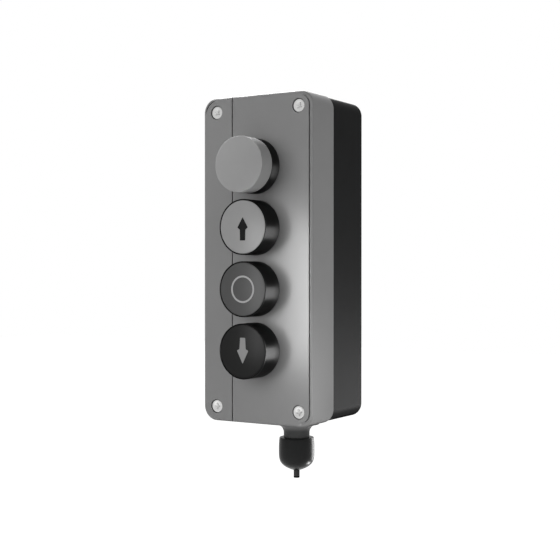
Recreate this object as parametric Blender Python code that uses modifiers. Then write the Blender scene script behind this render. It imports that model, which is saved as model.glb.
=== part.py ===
# Wall-mounted control station: one pilot lamp and three push-buttons in a column.
# The back lies on the wall at y = 0, the operators face -Y and +Z is up.

import math

import bmesh
import bpy
from mathutils import Vector

MM = 0.001

# Operator column
OPERATOR_COUNT = 4
HEAD_SPACING = 3.3 * MM
PANEL_HOLE_DIAMETER = 22.5 * MM
KEY_WIDTH = 2.6 * MM
KEY_REACH = 1.25 * MM

# Enclosure
BODY_WIDTH = 70.0 * MM
TOP_MARGIN = 39.0 * MM
BOTTOM_MARGIN = 40.0 * MM
BASE_DEPTH = 34.0 * MM
COVER_DEPTH = 23.0 * MM
BASE_INSET = 0.5 * MM
CORNER_RADIUS = 8.0 * MM
FRONT_FILLET = 2.0 * MM
BACK_FILLET = 1.5 * MM
BASE_WALL = 2.8 * MM
BACK_WALL = 3.0 * MM
FRONT_WALL = 3.0 * MM

# Clearances
SEAT_GAP = 0.3 * MM
RUN_GAP = 0.2 * MM
OVERCUT = 1.0 * MM

# Sealed seam between the two shells
TONGUE_LENGTH = 2.0 * MM
TONGUE_THICKNESS = 1.3 * MM
COVER_GASKET_THICKNESS = 0.7 * MM

# Cover screws and their pillars
SCREW_SIDE_INSET = 8.7 * MM
SCREW_END_INSET = 8.0 * MM
SCREW_HEAD_DIAMETER = 7.0 * MM
SCREW_HEAD_HEIGHT = 1.4 * MM
SCREW_HEAD_SINK = 0.5 * MM
SCREW_SHANK_DIAMETER = 3.5 * MM
SCREW_SHANK_LENGTH = 38.0 * MM
SCREW_HEAD_CHAMFER = 0.5 * MM
SCREW_SLOT_LENGTH = 3.8 * MM
SCREW_SLOT_WIDTH = 0.9 * MM
SCREW_SLOT_DEPTH = 0.8 * MM
PILLAR_DIAMETER = 8.4 * MM
PILLAR_DROP = 3.3 * MM
WEB_THICKNESS = 2.0 * MM

# Front face details
LABEL_GROOVE_GAP = 0.6 * MM
LABEL_GROOVE_WIDTH = 0.7 * MM
LABEL_GROOVE_DEPTH = 0.5 * MM
COVER_RIB_THICKNESS = 1.5 * MM
COVER_RIB_HEIGHT = 3.0 * MM

# Wall side details
FIXING_HOLE_DIAMETER = 6.0 * MM
FIXING_SIDE_INSET = 13.0 * MM
FIXING_END_INSET = 23.0 * MM
BACK_LAND_WIDTH = 12.0 * MM
BACK_BAR_HEIGHT = 18.0 * MM
BACK_POCKET_DEPTH = 0.8 * MM
BACK_POCKET_CLEARANCE = 11.0 * MM
BASE_RIB_THICKNESS = 1.5 * MM
BASE_RIB_HEIGHT = 2.0 * MM
BASE_RIB_SPACING = 34.0 * MM
KNOCKOUT_DIAMETER = 16.2 * MM
KNOCKOUT_GROOVE = 0.8 * MM

# Operator heads
HEAD_RIM_WALL = 0.9 * MM
BUTTON_HEIGHT = 13.7 * MM
RIM_CHAMFER = 0.2 * MM
BEZEL_WALL = 0.5 * MM
BARREL_WALL = 2.45 * MM
BARREL_LENGTH = 13.0 * MM
PANEL_GASKET_WIDTH = 2.4 * MM
PANEL_GASKET_THICKNESS = 0.8 * MM
GUIDE_THICKNESS = 2.0 * MM

# Push-button movement
PRESS_TRAVEL = 4.5 * MM
PLATE_SINK = 0.2 * MM
PLATE_THICKNESS = 1.0 * MM
CAP_SKIRT_HEIGHT = 3.7 * MM
CAP_SKIRT_WALL = 1.2 * MM
CAP_FRONT_WALL = 2.2 * MM
STEM_DIAMETER = 8.0 * MM
STEM_COLLAR_DIAMETER = 10.6 * MM
STEM_COLLAR_HEIGHT = 1.2 * MM
STEM_TIP_LENGTH = 1.5 * MM
SPRING_DIAMETER = 12.0 * MM
SPRING_WIRE = 0.7 * MM
SPRING_TURNS = 4

# Pilot lamp
LAMP_HEIGHT = 17.4 * MM
LAMP_COLLAR_HEIGHT = 7.4 * MM
LENS_FILLET = 0.4 * MM
LENS_FRONT_WALL = 1.8 * MM
LENS_SIDE_WALL = 1.2 * MM
LENS_SKIRT_LENGTH = 4.7 * MM
COLLAR_WALL = 1.15 * MM
LED_DIAMETER = 5.0 * MM
LED_HEIGHT = 6.0 * MM
LED_PEDESTAL_DIAMETER = 12.4 * MM
LED_PEDESTAL_LENGTH = 14.0 * MM

# Fixing nuts, adapters and rear blocks
NUT_WALL = 1.75 * MM
NUT_THICKNESS = 4.0 * MM
ADAPTER_WALL = 2.75 * MM
ADAPTER_PASSAGE = 13.0 * MM
ADAPTER_LATCH_WIDTH = 8.0 * MM
ADAPTER_LATCH_REACH = 2.0 * MM
ADAPTER_LATCH_DEPTH = 3.0 * MM
ADAPTER_LATCH_INSET = 1.0 * MM
BLOCK_WIDTH = 12.0 * MM
BLOCK_SPACING = 4.4 * MM
BLOCK_DEPTH = 21.0 * MM
BLOCK_BEVEL = 0.6 * MM
BLOCK_HOOK_WIDTH = 6.0 * MM
BLOCK_HOOK_DEPTH = 2.4 * MM
BLOCK_HOOK_REACH = 0.8 * MM
PLUNGER_DIAMETER = 3.2 * MM
PLUNGER_LENGTH = 14.0 * MM
PLUNGER_CHAMFER = 0.5 * MM
TERMINAL_END_INSET = 4.5 * MM
TERMINAL_HEAD_DIAMETER = 4.6 * MM
TERMINAL_HEAD_HEIGHT = 1.6 * MM
TERMINAL_SHANK_DIAMETER = 2.4 * MM
TERMINAL_SHANK_LENGTH = 5.0 * MM
TERMINAL_SLOT_WIDTH = 0.6 * MM
TERMINAL_SLOT_DEPTH = 0.7 * MM
CORE_INLET_OFFSET = 4.2 * MM
CORE_INLET_DEPTH = 2.0 * MM

# Cable gland
GLAND_DEPTH = 15.0 * MM
GLAND_THREAD_DIAMETER = 15.6 * MM
GLAND_THREAD_REACH = 5.5 * MM
GLAND_BORE = 9.0 * MM
GLAND_WASHER_WIDTH = 2.0 * MM
GLAND_WASHER_THICKNESS = 1.0 * MM
GLAND_HEX_ACROSS_FLATS = 20.0 * MM
GLAND_HEX_HEIGHT = 5.4 * MM
GLAND_FLARE_HEIGHT = 2.0 * MM
GLAND_FLARE_INSET = 1.0 * MM
GLAND_NECK_STEP = 0.6 * MM
GLAND_NECK_HEIGHT = 4.3 * MM
GLAND_STUB_LENGTH = 9.0 * MM
GLAND_STUB_WALL = 1.0 * MM
GLAND_SEAL_DIAMETER = 11.0 * MM
GLAND_SEAL_LENGTH = 9.5 * MM
DOME_NUT_THREAD_WALL = 2.5 * MM
DOME_NUT_HEIGHT = 17.6 * MM
DOME_NUT_TAPER = 0.5 * MM
DOME_RADIUS = 4.2 * MM
DOME_NUT_END_WALL = 2.1 * MM
DOME_NOSE_DIAMETER = 9.0 * MM
DOME_NOSE_HEIGHT = 1.0 * MM
DOME_NOSE_RIM = 1.0 * MM
LOCKNUT_ACROSS_FLATS = 21.0 * MM
LOCKNUT_THICKNESS = 4.0 * MM

# Cable and its conductors
CABLE_DIAMETER = 3.4 * MM
CABLE_TAIL_LENGTH = 5.6 * MM
CABLE_INNER_LENGTH = 2.5 * MM
CORE_DIAMETER = 1.0 * MM
CORE_LANE_PITCH = 4.6 * MM
CORE_FAN_START = 1.0 * MM
CORE_SWING = 10.0 * MM
CORE_BEND = 1.4 * MM

# Facets
HEAD_STEPS = 24
BORE_STEPS = 18
SMALL_STEPS = 10
TERMINAL_STEPS = 8
SPRING_STEPS = 8
CORNER_SEGMENTS = 5
FILLET_SEGMENTS = 2
DOME_SEGMENTS = 4
ROUTE_STEPS = 2
QUARTER_TURN = 90.0
SMOOTH_ANGLE = math.radians(35.0)
WELD = 0.000001

# Derived radii of what fits together
BARREL_RADIUS = PANEL_HOLE_DIAMETER / 2 - SEAT_GAP
BARREL_BORE_RADIUS = BARREL_RADIUS - BARREL_WALL
SLEEVE_RADIUS = BARREL_RADIUS + SEAT_GAP
HEAD_RADIUS = SLEEVE_RADIUS + PANEL_GASKET_WIDTH + SEAT_GAP + HEAD_RIM_WALL
GLAND_SEAL_BORE_RADIUS = GLAND_SEAL_DIAMETER / 2 + SEAT_GAP
GLAND_STUB_RADIUS = GLAND_SEAL_BORE_RADIUS + GLAND_STUB_WALL
DOME_NUT_BORE_RADIUS = GLAND_STUB_RADIUS + SEAT_GAP

# Derived places, as y of world planes and x, z of inner faces
OPERATOR_PITCH = 2 * HEAD_RADIUS + HEAD_SPACING
BLOCK_HEIGHT = OPERATOR_PITCH - BLOCK_SPACING - 2 * BLOCK_HOOK_REACH
TERMINAL_SPACING = BLOCK_HEIGHT - 2 * TERMINAL_END_INSET
COLUMN_LENGTH = OPERATOR_PITCH * (OPERATOR_COUNT - 1)
BODY_HEIGHT = COLUMN_LENGTH + TOP_MARGIN + BOTTOM_MARGIN
FRONT_Y = -(BASE_DEPTH + COVER_DEPTH)
COVER_RIM_Y = -(BASE_DEPTH + SEAT_GAP)
TONGUE_END_Y = COVER_RIM_Y + TONGUE_LENGTH
REBATE_FLOOR_Y = TONGUE_END_Y + COVER_GASKET_THICKNESS + 2 * SEAT_GAP
PILLAR_TOP_Y = -(BASE_DEPTH - PILLAR_DROP)
BASE_HALF_WIDTH = BODY_WIDTH / 2 - BASE_INSET
BASE_HALF_HEIGHT = BODY_HEIGHT / 2 - BASE_INSET
INNER_HALF_WIDTH = BASE_HALF_WIDTH - BASE_WALL
INNER_HALF_HEIGHT = BASE_HALF_HEIGHT - BASE_WALL
INNER_CORNER = CORNER_RADIUS - BASE_INSET - BASE_WALL
BARREL_END = -BARREL_LENGTH
NUT_FRONT = -(FRONT_WALL + SEAT_GAP)
NUT_BACK = NUT_FRONT - NUT_THICKNESS
ADAPTER_FRONT = NUT_BACK - SEAT_GAP
STEM_END = BARREL_END - SEAT_GAP - STEM_COLLAR_HEIGHT - STEM_TIP_LENGTH
ADAPTER_BACK = STEM_END - PRESS_TRAVEL - SEAT_GAP
BLOCK_FRONT = ADAPTER_BACK - SEAT_GAP
BLOCK_BACK = BLOCK_FRONT - BLOCK_DEPTH
HEAD_FLOOR = 2 * SEAT_GAP + PANEL_GASKET_THICKNESS
GLAND_THREAD_TOP = -INNER_HALF_HEIGHT + LOCKNUT_THICKNESS + GLAND_THREAD_REACH
LABEL_GROOVE_X = -(HEAD_RADIUS + LABEL_GROOVE_GAP + LABEL_GROOVE_WIDTH / 2)
SCREW_PLACE = (BODY_WIDTH / 2 - SCREW_SIDE_INSET, BODY_HEIGHT / 2 - SCREW_END_INSET)
FIXING_PLACE = (BODY_WIDTH / 2 - FIXING_SIDE_INSET, BODY_HEIGHT / 2 - FIXING_END_INSET)


def clear_scene():
    for old in list(bpy.data.objects):
        bpy.data.objects.remove(old, do_unlink=True)


def new_collection(name):
    collection = bpy.data.collections.new(name)
    bpy.context.scene.collection.children.link(collection)
    return collection


def plastic(name, colour, roughness, metallic=0.0):
    material = bpy.data.materials.new(name)
    material.use_nodes = True
    shader = material.node_tree.nodes["Principled BSDF"]
    shader.inputs["Base Color"].default_value = (*colour, 1.0)
    shader.inputs["Roughness"].default_value = roughness
    shader.inputs["Metallic"].default_value = metallic
    return material


clear_scene()
PARTS = new_collection("control_station")
CUTTERS = new_collection("cutters")


def add_empty(name, location, parent=None, turned_to_front=False):
    empty = bpy.data.objects.new(name, None)
    empty.empty_display_size = HEAD_RADIUS
    empty.location = location
    if turned_to_front:
        empty.rotation_euler = (math.radians(90.0), 0.0, 0.0)
    empty.parent = parent
    PARTS.objects.link(empty)
    return empty


def finish_part(part, material, parent=None, location=(0.0, 0.0, 0.0)):
    part.location = location
    part.parent = parent
    part.data.materials.clear()
    part.data.materials.append(material)
    PARTS.objects.link(part)


def finish_cutter(cutter, parent=None, location=(0.0, 0.0, 0.0)):
    cutter.location = location
    cutter.parent = parent
    cutter.hide_render = True
    cutter.display_type = "WIRE"
    CUTTERS.objects.link(cutter)


def combine(part, other, operation):
    boolean = part.modifiers.new(operation.lower(), "BOOLEAN")
    boolean.operation = operation
    boolean.solver = "EXACT"
    boolean.object = other


def cut(part, *cutters):
    for cutter in cutters:
        combine(part, cutter, "DIFFERENCE")


def join(part, *pieces):
    for piece in pieces:
        combine(part, piece, "UNION")


def to_object(name, shape):
    mesh = bpy.data.meshes.new(name)
    bmesh.ops.recalc_face_normals(shape, faces=shape.faces)
    shape.to_mesh(mesh)
    shape.free()
    mesh.shade_smooth()
    mesh.set_sharp_from_angle(angle=SMOOTH_ANGLE)
    return bpy.data.objects.new(name, mesh)


def box(name, low, high, bevel=0.0):
    """A block between two corners, with all its edges bevelled where bevel is not zero."""
    shape = bmesh.new()
    bmesh.ops.create_cube(shape, size=1.0)
    size = Vector(high) - Vector(low)
    centre = (Vector(high) + Vector(low)) / 2
    bmesh.ops.scale(shape, vec=size, verts=shape.verts)
    bmesh.ops.translate(shape, vec=centre, verts=shape.verts)
    block = to_object(name, shape)
    if bevel:
        edge = block.modifiers.new("edges", "BEVEL")
        edge.width = bevel
        edge.segments = 1
    return block


def cylinder(name, radius, low, high, steps, centre=(0.0, 0.0), turn=0.0):
    """A straight cylinder or prism along local z, between two heights."""
    shape = bmesh.new()
    bmesh.ops.create_cone(
        shape, cap_ends=True, segments=steps, radius1=radius, radius2=radius, depth=high - low
    )
    for vert in shape.verts:
        x, y = vert.co.x, vert.co.y
        vert.co.x = x * math.cos(turn) - y * math.sin(turn)
        vert.co.y = x * math.sin(turn) + y * math.cos(turn)
    bmesh.ops.translate(shape, vec=(centre[0], centre[1], (low + high) / 2), verts=shape.verts)
    return to_object(name, shape)


def face_forward(part):
    """Turns a piece that was built along local z so that its top looks along world -Y."""
    part.rotation_euler = (math.radians(90.0), 0.0, 0.0)
    return part


def turned(name, profile, steps, closed=False):
    """A turned piece: profile is (radius, height), down the outer side and back up the bore."""
    mesh = bpy.data.meshes.new(name)
    points = [(radius, 0.0, height) for radius, height in profile]
    edges = [(i, i + 1) for i in range(len(points) - 1)]
    if closed:
        edges.append((len(points) - 1, 0))
    mesh.from_pydata(points, edges, [])
    piece = bpy.data.objects.new(name, mesh)
    screw = piece.modifiers.new("turn", "SCREW")
    screw.axis = "Z"
    screw.angle = math.tau
    screw.steps = steps
    screw.render_steps = steps
    screw.use_merge_vertices = True
    screw.merge_threshold = WELD
    screw.use_smooth_shade = True
    return piece


def arc(centre, radius, start, end, count):
    """Points along an arc, with angles in degrees from the +radius direction."""
    points = []
    for i in range(count + 1):
        angle = math.radians(start + (end - start) * i / count)
        points.append((centre[0] + radius * math.cos(angle), centre[1] + radius * math.sin(angle)))
    return points


def hex_radius(across_flats):
    return across_flats / 2 / math.cos(math.pi / 6)


def edges_on_plane(shape, y):
    return [e for e in shape.edges if all(abs(v.co.y - y) < WELD for v in e.verts)]


def rounded_block(name, half_width, half_height, front_y, back_y, corner, fillet=0.0, fillet_y=None):
    """A block with round corners seen from the front, and a fillet round one of its two ends."""
    shape = bmesh.new()
    bmesh.ops.create_cube(shape, size=1.0)
    bmesh.ops.scale(shape, vec=(2 * half_width, back_y - front_y, 2 * half_height), verts=shape.verts)
    bmesh.ops.translate(shape, vec=(0.0, (front_y + back_y) / 2, 0.0), verts=shape.verts)
    uprights = [e for e in shape.edges if abs(e.verts[0].co.y - e.verts[1].co.y) > WELD]
    bmesh.ops.bevel(
        shape, geom=uprights, offset=corner, segments=CORNER_SEGMENTS, profile=0.5, affect="EDGES"
    )
    if fillet:
        bmesh.ops.bevel(
            shape,
            geom=edges_on_plane(shape, fillet_y),
            offset=fillet,
            segments=FILLET_SEGMENTS,
            profile=0.5,
            affect="EDGES",
        )
    return to_object(name, shape)


def outline_wall(name, half_width, half_height, corner, front_y, back_y, thickness):
    """A closed band that follows a rounded outline, thickened inwards."""
    outline = []
    for i, (sx, sz) in enumerate(((1, 1), (-1, 1), (-1, -1), (1, -1))):
        centre = (sx * (half_width - corner), sz * (half_height - corner))
        start = i * QUARTER_TURN
        outline += arc(centre, corner, start, start + QUARTER_TURN, CORNER_SEGMENTS)
    shape = bmesh.new()
    front = [shape.verts.new((x, front_y, z)) for x, z in outline]
    back = [shape.verts.new((x, back_y, z)) for x, z in outline]
    for i in range(len(outline)):
        j = (i + 1) % len(outline)
        shape.faces.new((front[i], front[j], back[j], back[i]))
    band = to_object(name, shape)
    wall = band.modifiers.new("wall", "SOLIDIFY")
    wall.thickness = thickness
    wall.offset = -1.0
    wall.use_even_offset = True
    return band


def corner_places(place):
    return [(sx * place[0], sz * place[1]) for sz in (1, -1) for sx in (-1, 1)]


def operator_heights():
    top = BODY_HEIGHT / 2 - TOP_MARGIN
    return [top - OPERATOR_PITCH * i for i in range(OPERATOR_COUNT)]


def along_y(name, radius, front_y, back_y, place, steps):
    """A cylinder along world Y at one x, z place."""
    rod = cylinder(name, radius, -back_y, -front_y, steps)
    face_forward(rod)
    return rod, (place[0], 0.0, place[1])


def add_pillars(shell, label, front_y, back_y, web_front_y, web_back_y):
    """Joins a screw pillar and its two webs to each corner of a shell."""
    reach_x = INNER_HALF_WIDTH + BASE_WALL / 2
    reach_z = INNER_HALF_HEIGHT + BASE_WALL / 2
    half_web = WEB_THICKNESS / 2
    for i, (x, z) in enumerate(corner_places(SCREW_PLACE)):
        side = math.copysign(1.0, x)
        end = math.copysign(1.0, z)
        pillar, place = along_y(
            f"{label}_pillar_{i}", PILLAR_DIAMETER / 2, front_y, back_y, (x, z), SMALL_STEPS
        )
        finish_cutter(pillar, location=place)
        x_low, x_high = sorted((x, side * reach_x))
        z_low, z_high = sorted((z, end * reach_z))
        web_x = box(
            f"{label}_web_x_{i}", (x_low, web_front_y, z - half_web), (x_high, web_back_y, z + half_web)
        )
        web_z = box(
            f"{label}_web_z_{i}", (x - half_web, web_front_y, z_low), (x + half_web, web_back_y, z_high)
        )
        finish_cutter(web_x)
        finish_cutter(web_z)
        join(shell, pillar, web_x, web_z)


def screw_seat_y():
    return FRONT_Y + SCREW_HEAD_SINK + SCREW_HEAD_HEIGHT


def drill_pillars(shell, label, front_y, back_y):
    radius = SCREW_SHANK_DIAMETER / 2 + SEAT_GAP
    for i, place in enumerate(corner_places(SCREW_PLACE)):
        drill, location = along_y(f"{label}_drill_{i}", radius, front_y, back_y, place, SMALL_STEPS)
        finish_cutter(drill, location=location)
        cut(shell, drill)


def make_rear_housing(material):
    shell = rounded_block(
        "rear_housing", BASE_HALF_WIDTH, BASE_HALF_HEIGHT, -BASE_DEPTH, 0.0,
        CORNER_RADIUS - BASE_INSET, BACK_FILLET, 0.0,
    )
    cavity = rounded_block(
        "rear_cavity", INNER_HALF_WIDTH, INNER_HALF_HEIGHT, -BASE_DEPTH - OVERCUT, -BACK_WALL,
        INNER_CORNER,
    )
    finish_cutter(cavity)
    cut(shell, cavity)
    rebate_width = TONGUE_THICKNESS + SEAT_GAP
    rebate = rounded_block(
        "seal_rebate", INNER_HALF_WIDTH + rebate_width, INNER_HALF_HEIGHT + rebate_width,
        -BASE_DEPTH - OVERCUT, REBATE_FLOOR_Y, INNER_CORNER + rebate_width,
    )
    finish_cutter(rebate)
    cut(shell, rebate)
    add_pillars(
        shell, "rear", PILLAR_TOP_Y, -BACK_WALL / 2, PILLAR_TOP_Y + WEB_THICKNESS, -BACK_WALL / 2
    )
    screw_tip_y = screw_seat_y() + SCREW_SHANK_LENGTH
    drill_pillars(shell, "rear", PILLAR_TOP_Y - OVERCUT, screw_tip_y + OVERCUT)
    half_rib = BASE_RIB_THICKNESS / 2
    for i, side in enumerate((-1, 1)):
        centre_x = side * BASE_RIB_SPACING / 2
        rib = box(
            f"base_rib_{i}",
            (centre_x - half_rib, -BACK_WALL - BASE_RIB_HEIGHT, -INNER_HALF_HEIGHT - OVERCUT),
            (centre_x + half_rib, -BACK_WALL / 2, INNER_HALF_HEIGHT + OVERCUT),
        )
        finish_cutter(rib)
        join(shell, rib)
    for i, place in enumerate(corner_places(FIXING_PLACE)):
        hole, location = along_y(
            f"fixing_hole_{i}", FIXING_HOLE_DIAMETER / 2,
            -BACK_WALL - OVERCUT, OVERCUT, place, SMALL_STEPS,
        )
        finish_cutter(hole, location=location)
        cut(shell, hole)
    pocket_x = BODY_WIDTH / 2 - BACK_LAND_WIDTH
    for i, end in enumerate((-1, 1)):
        low, high = sorted((end * BACK_BAR_HEIGHT / 2, end * (FIXING_PLACE[1] - BACK_POCKET_CLEARANCE)))
        pocket = box(
            f"back_pocket_{i}", (-pocket_x, -BACK_POCKET_DEPTH, low), (pocket_x, OVERCUT, high)
        )
        finish_cutter(pocket)
        cut(shell, pocket)
    gland_hole = cylinder(
        "gland_hole", GLAND_THREAD_DIAMETER / 2 + SEAT_GAP, -BASE_HALF_HEIGHT - OVERCUT,
        -INNER_HALF_HEIGHT + OVERCUT, BORE_STEPS,
    )
    finish_cutter(gland_hole, location=(0.0, -GLAND_DEPTH, 0.0))
    cut(shell, gland_hole)
    outer = KNOCKOUT_DIAMETER / 2
    inner = outer - KNOCKOUT_GROOVE
    knockout = turned(
        "knockout_groove",
        [
            (outer, BASE_HALF_HEIGHT + OVERCUT),
            (outer, BASE_HALF_HEIGHT - KNOCKOUT_GROOVE),
            (inner, BASE_HALF_HEIGHT - KNOCKOUT_GROOVE),
            (inner, BASE_HALF_HEIGHT + OVERCUT),
        ],
        BORE_STEPS,
        closed=True,
    )
    finish_cutter(knockout, location=(0.0, -GLAND_DEPTH, 0.0))
    cut(shell, knockout)
    finish_part(shell, material)


def make_front_cover(material):
    shell = rounded_block(
        "front_cover", BODY_WIDTH / 2, BODY_HEIGHT / 2, FRONT_Y, COVER_RIM_Y,
        CORNER_RADIUS, FRONT_FILLET, FRONT_Y,
    )
    cavity = rounded_block(
        "cover_cavity", INNER_HALF_WIDTH, INNER_HALF_HEIGHT, FRONT_Y + FRONT_WALL,
        COVER_RIM_Y + OVERCUT, INNER_CORNER,
    )
    finish_cutter(cavity)
    cut(shell, cavity)
    tongue = outline_wall(
        "cover_tongue", INNER_HALF_WIDTH + TONGUE_THICKNESS, INNER_HALF_HEIGHT + TONGUE_THICKNESS,
        INNER_CORNER + TONGUE_THICKNESS, COVER_RIM_Y - OVERCUT, TONGUE_END_Y, TONGUE_THICKNESS,
    )
    finish_cutter(tongue)
    join(shell, tongue)
    web_back_y = COVER_RIM_Y - WEB_THICKNESS
    add_pillars(
        shell, "cover", FRONT_Y + FRONT_WALL / 2, PILLAR_TOP_Y - SEAT_GAP,
        FRONT_Y + FRONT_WALL / 2, web_back_y,
    )
    drill_pillars(shell, "cover", FRONT_Y - OVERCUT, PILLAR_TOP_Y + OVERCUT)
    counterbore_radius = SCREW_HEAD_DIAMETER / 2 + SEAT_GAP
    for i, place in enumerate(corner_places(SCREW_PLACE)):
        counterbore, location = along_y(
            f"counterbore_{i}", counterbore_radius, FRONT_Y - OVERCUT, screw_seat_y() + SEAT_GAP,
            place, SMALL_STEPS,
        )
        finish_cutter(counterbore, location=location)
        cut(shell, counterbore)
    notch_half = KEY_WIDTH / 2 + SEAT_GAP
    notch_top = BARREL_RADIUS + KEY_REACH + SEAT_GAP
    for i, height in enumerate(operator_heights()):
        hole, location = along_y(
            f"operator_hole_{i}", PANEL_HOLE_DIAMETER / 2, FRONT_Y - OVERCUT,
            FRONT_Y + FRONT_WALL + OVERCUT, (0.0, height), HEAD_STEPS,
        )
        finish_cutter(hole, location=location)
        notch = box(
            f"operator_notch_{i}",
            (-notch_half, FRONT_Y - OVERCUT, height),
            (notch_half, FRONT_Y + FRONT_WALL + OVERCUT, height + notch_top),
        )
        finish_cutter(notch)
        cut(shell, hole, notch)
    heights = operator_heights()
    for i, (upper, lower) in enumerate(zip(heights, heights[1:])):
        height = (upper + lower) / 2
        rib = box(
            f"cover_rib_{i}",
            (-INNER_HALF_WIDTH - OVERCUT, FRONT_Y + FRONT_WALL / 2, height - COVER_RIB_THICKNESS / 2),
            (
                INNER_HALF_WIDTH + OVERCUT,
                FRONT_Y + FRONT_WALL + COVER_RIB_HEIGHT,
                height + COVER_RIB_THICKNESS / 2,
            ),
        )
        finish_cutter(rib)
        join(shell, rib)
    groove = box(
        "label_groove",
        (LABEL_GROOVE_X - LABEL_GROOVE_WIDTH / 2, FRONT_Y - OVERCUT, -BODY_HEIGHT),
        (LABEL_GROOVE_X + LABEL_GROOVE_WIDTH / 2, FRONT_Y + LABEL_GROOVE_DEPTH, BODY_HEIGHT),
    )
    finish_cutter(groove)
    cut(shell, groove)
    finish_part(shell, material)


def make_cover_gasket(material):
    gasket = outline_wall(
        "cover_gasket", INNER_HALF_WIDTH + TONGUE_THICKNESS, INNER_HALF_HEIGHT + TONGUE_THICKNESS,
        INNER_CORNER + TONGUE_THICKNESS, TONGUE_END_Y + SEAT_GAP, REBATE_FLOOR_Y - SEAT_GAP,
        TONGUE_THICKNESS,
    )
    finish_part(gasket, material)


def make_cover_screws(material):
    head = SCREW_HEAD_DIAMETER / 2
    shank = SCREW_SHANK_DIAMETER / 2
    half_length = SCREW_SLOT_LENGTH / 2
    half_width = SCREW_SLOT_WIDTH / 2
    profile = [
        (0.0, SCREW_HEAD_HEIGHT),
        (head - SCREW_HEAD_CHAMFER, SCREW_HEAD_HEIGHT),
        (head, SCREW_HEAD_HEIGHT - SCREW_HEAD_CHAMFER),
        (head, 0.0),
        (shank, 0.0),
        (shank, -SCREW_SHANK_LENGTH + shank),
        (0.0, -SCREW_SHANK_LENGTH),
    ]
    for i, (x, z) in enumerate(corner_places(SCREW_PLACE), start=1):
        place = (x, screw_seat_y(), z)
        screw = face_forward(turned(f"cover_screw_{i}", profile, SMALL_STEPS))
        for arm, half_x, half_y in (("a", half_length, half_width), ("b", half_width, half_length)):
            slot = box(
                f"cover_screw_slot_{i}{arm}",
                (-half_x, -half_y, SCREW_HEAD_HEIGHT - SCREW_SLOT_DEPTH),
                (half_x, half_y, SCREW_HEAD_HEIGHT + OVERCUT),
            )
            face_forward(slot)
            finish_cutter(slot, location=place)
            cut(screw, slot)
        finish_part(screw, material, location=place)


def make_head_key(head, name, seat):
    """Joins the lug that keeps an operator from turning in its panel hole."""
    key = box(
        f"{name}_key",
        (-KEY_WIDTH / 2, BARREL_RADIUS - OVERCUT, -FRONT_WALL + SEAT_GAP),
        (KEY_WIDTH / 2, BARREL_RADIUS + KEY_REACH, -SEAT_GAP),
    )
    finish_cutter(key, parent=seat)
    join(head, key)


def head_rear_profile():
    """The rear of every head, from its outer rim over the gasket recess to the barrel's end."""
    recess = SLEEVE_RADIUS + PANEL_GASKET_WIDTH + SEAT_GAP
    return [
        (HEAD_RADIUS, SEAT_GAP),
        (recess, SEAT_GAP),
        (recess, HEAD_FLOOR),
        (BARREL_RADIUS, HEAD_FLOOR),
        (BARREL_RADIUS, BARREL_END),
    ]


def make_panel_gasket(prefix, seat, material):
    outer = SLEEVE_RADIUS + PANEL_GASKET_WIDTH
    top = SEAT_GAP + PANEL_GASKET_THICKNESS
    gasket = turned(
        f"{prefix}_gasket",
        [(outer, top), (outer, SEAT_GAP), (SLEEVE_RADIUS, SEAT_GAP), (SLEEVE_RADIUS, top)],
        BORE_STEPS,
        closed=True,
    )
    finish_part(gasket, material, parent=seat)


def make_fixing_nut(prefix, seat, material):
    across_flats = 2 * (SLEEVE_RADIUS + NUT_WALL)
    nut = cylinder(
        f"{prefix}_nut", hex_radius(across_flats), NUT_BACK, NUT_FRONT, 6, turn=math.pi / 6
    )
    bore = cylinder(
        f"{prefix}_nut_bore", SLEEVE_RADIUS, NUT_BACK - OVERCUT, NUT_FRONT + OVERCUT, BORE_STEPS
    )
    finish_cutter(bore, parent=seat)
    cut(nut, bore)
    finish_part(nut, material, parent=seat)


def make_adapter(prefix, seat, material):
    half = SLEEVE_RADIUS + ADAPTER_WALL
    adapter = box(
        f"{prefix}_adapter", (-half, -half, ADAPTER_BACK), (half, half, ADAPTER_FRONT)
    )
    latch_low = ADAPTER_BACK + ADAPTER_LATCH_INSET
    latch = box(
        f"{prefix}_adapter_latch",
        (half - OVERCUT, -ADAPTER_LATCH_WIDTH / 2, latch_low),
        (half + ADAPTER_LATCH_REACH, ADAPTER_LATCH_WIDTH / 2, latch_low + ADAPTER_LATCH_DEPTH),
    )
    sleeve = cylinder(
        f"{prefix}_adapter_sleeve", SLEEVE_RADIUS, BARREL_END - SEAT_GAP, ADAPTER_FRONT + OVERCUT,
        BORE_STEPS,
    )
    passage = cylinder(
        f"{prefix}_adapter_passage", ADAPTER_PASSAGE / 2, ADAPTER_BACK - OVERCUT,
        ADAPTER_FRONT + OVERCUT, BORE_STEPS,
    )
    for cutter in (latch, sleeve, passage):
        finish_cutter(cutter, parent=seat)
    join(adapter, latch)
    cut(adapter, sleeve, passage)
    finish_part(adapter, material, parent=seat)


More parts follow.
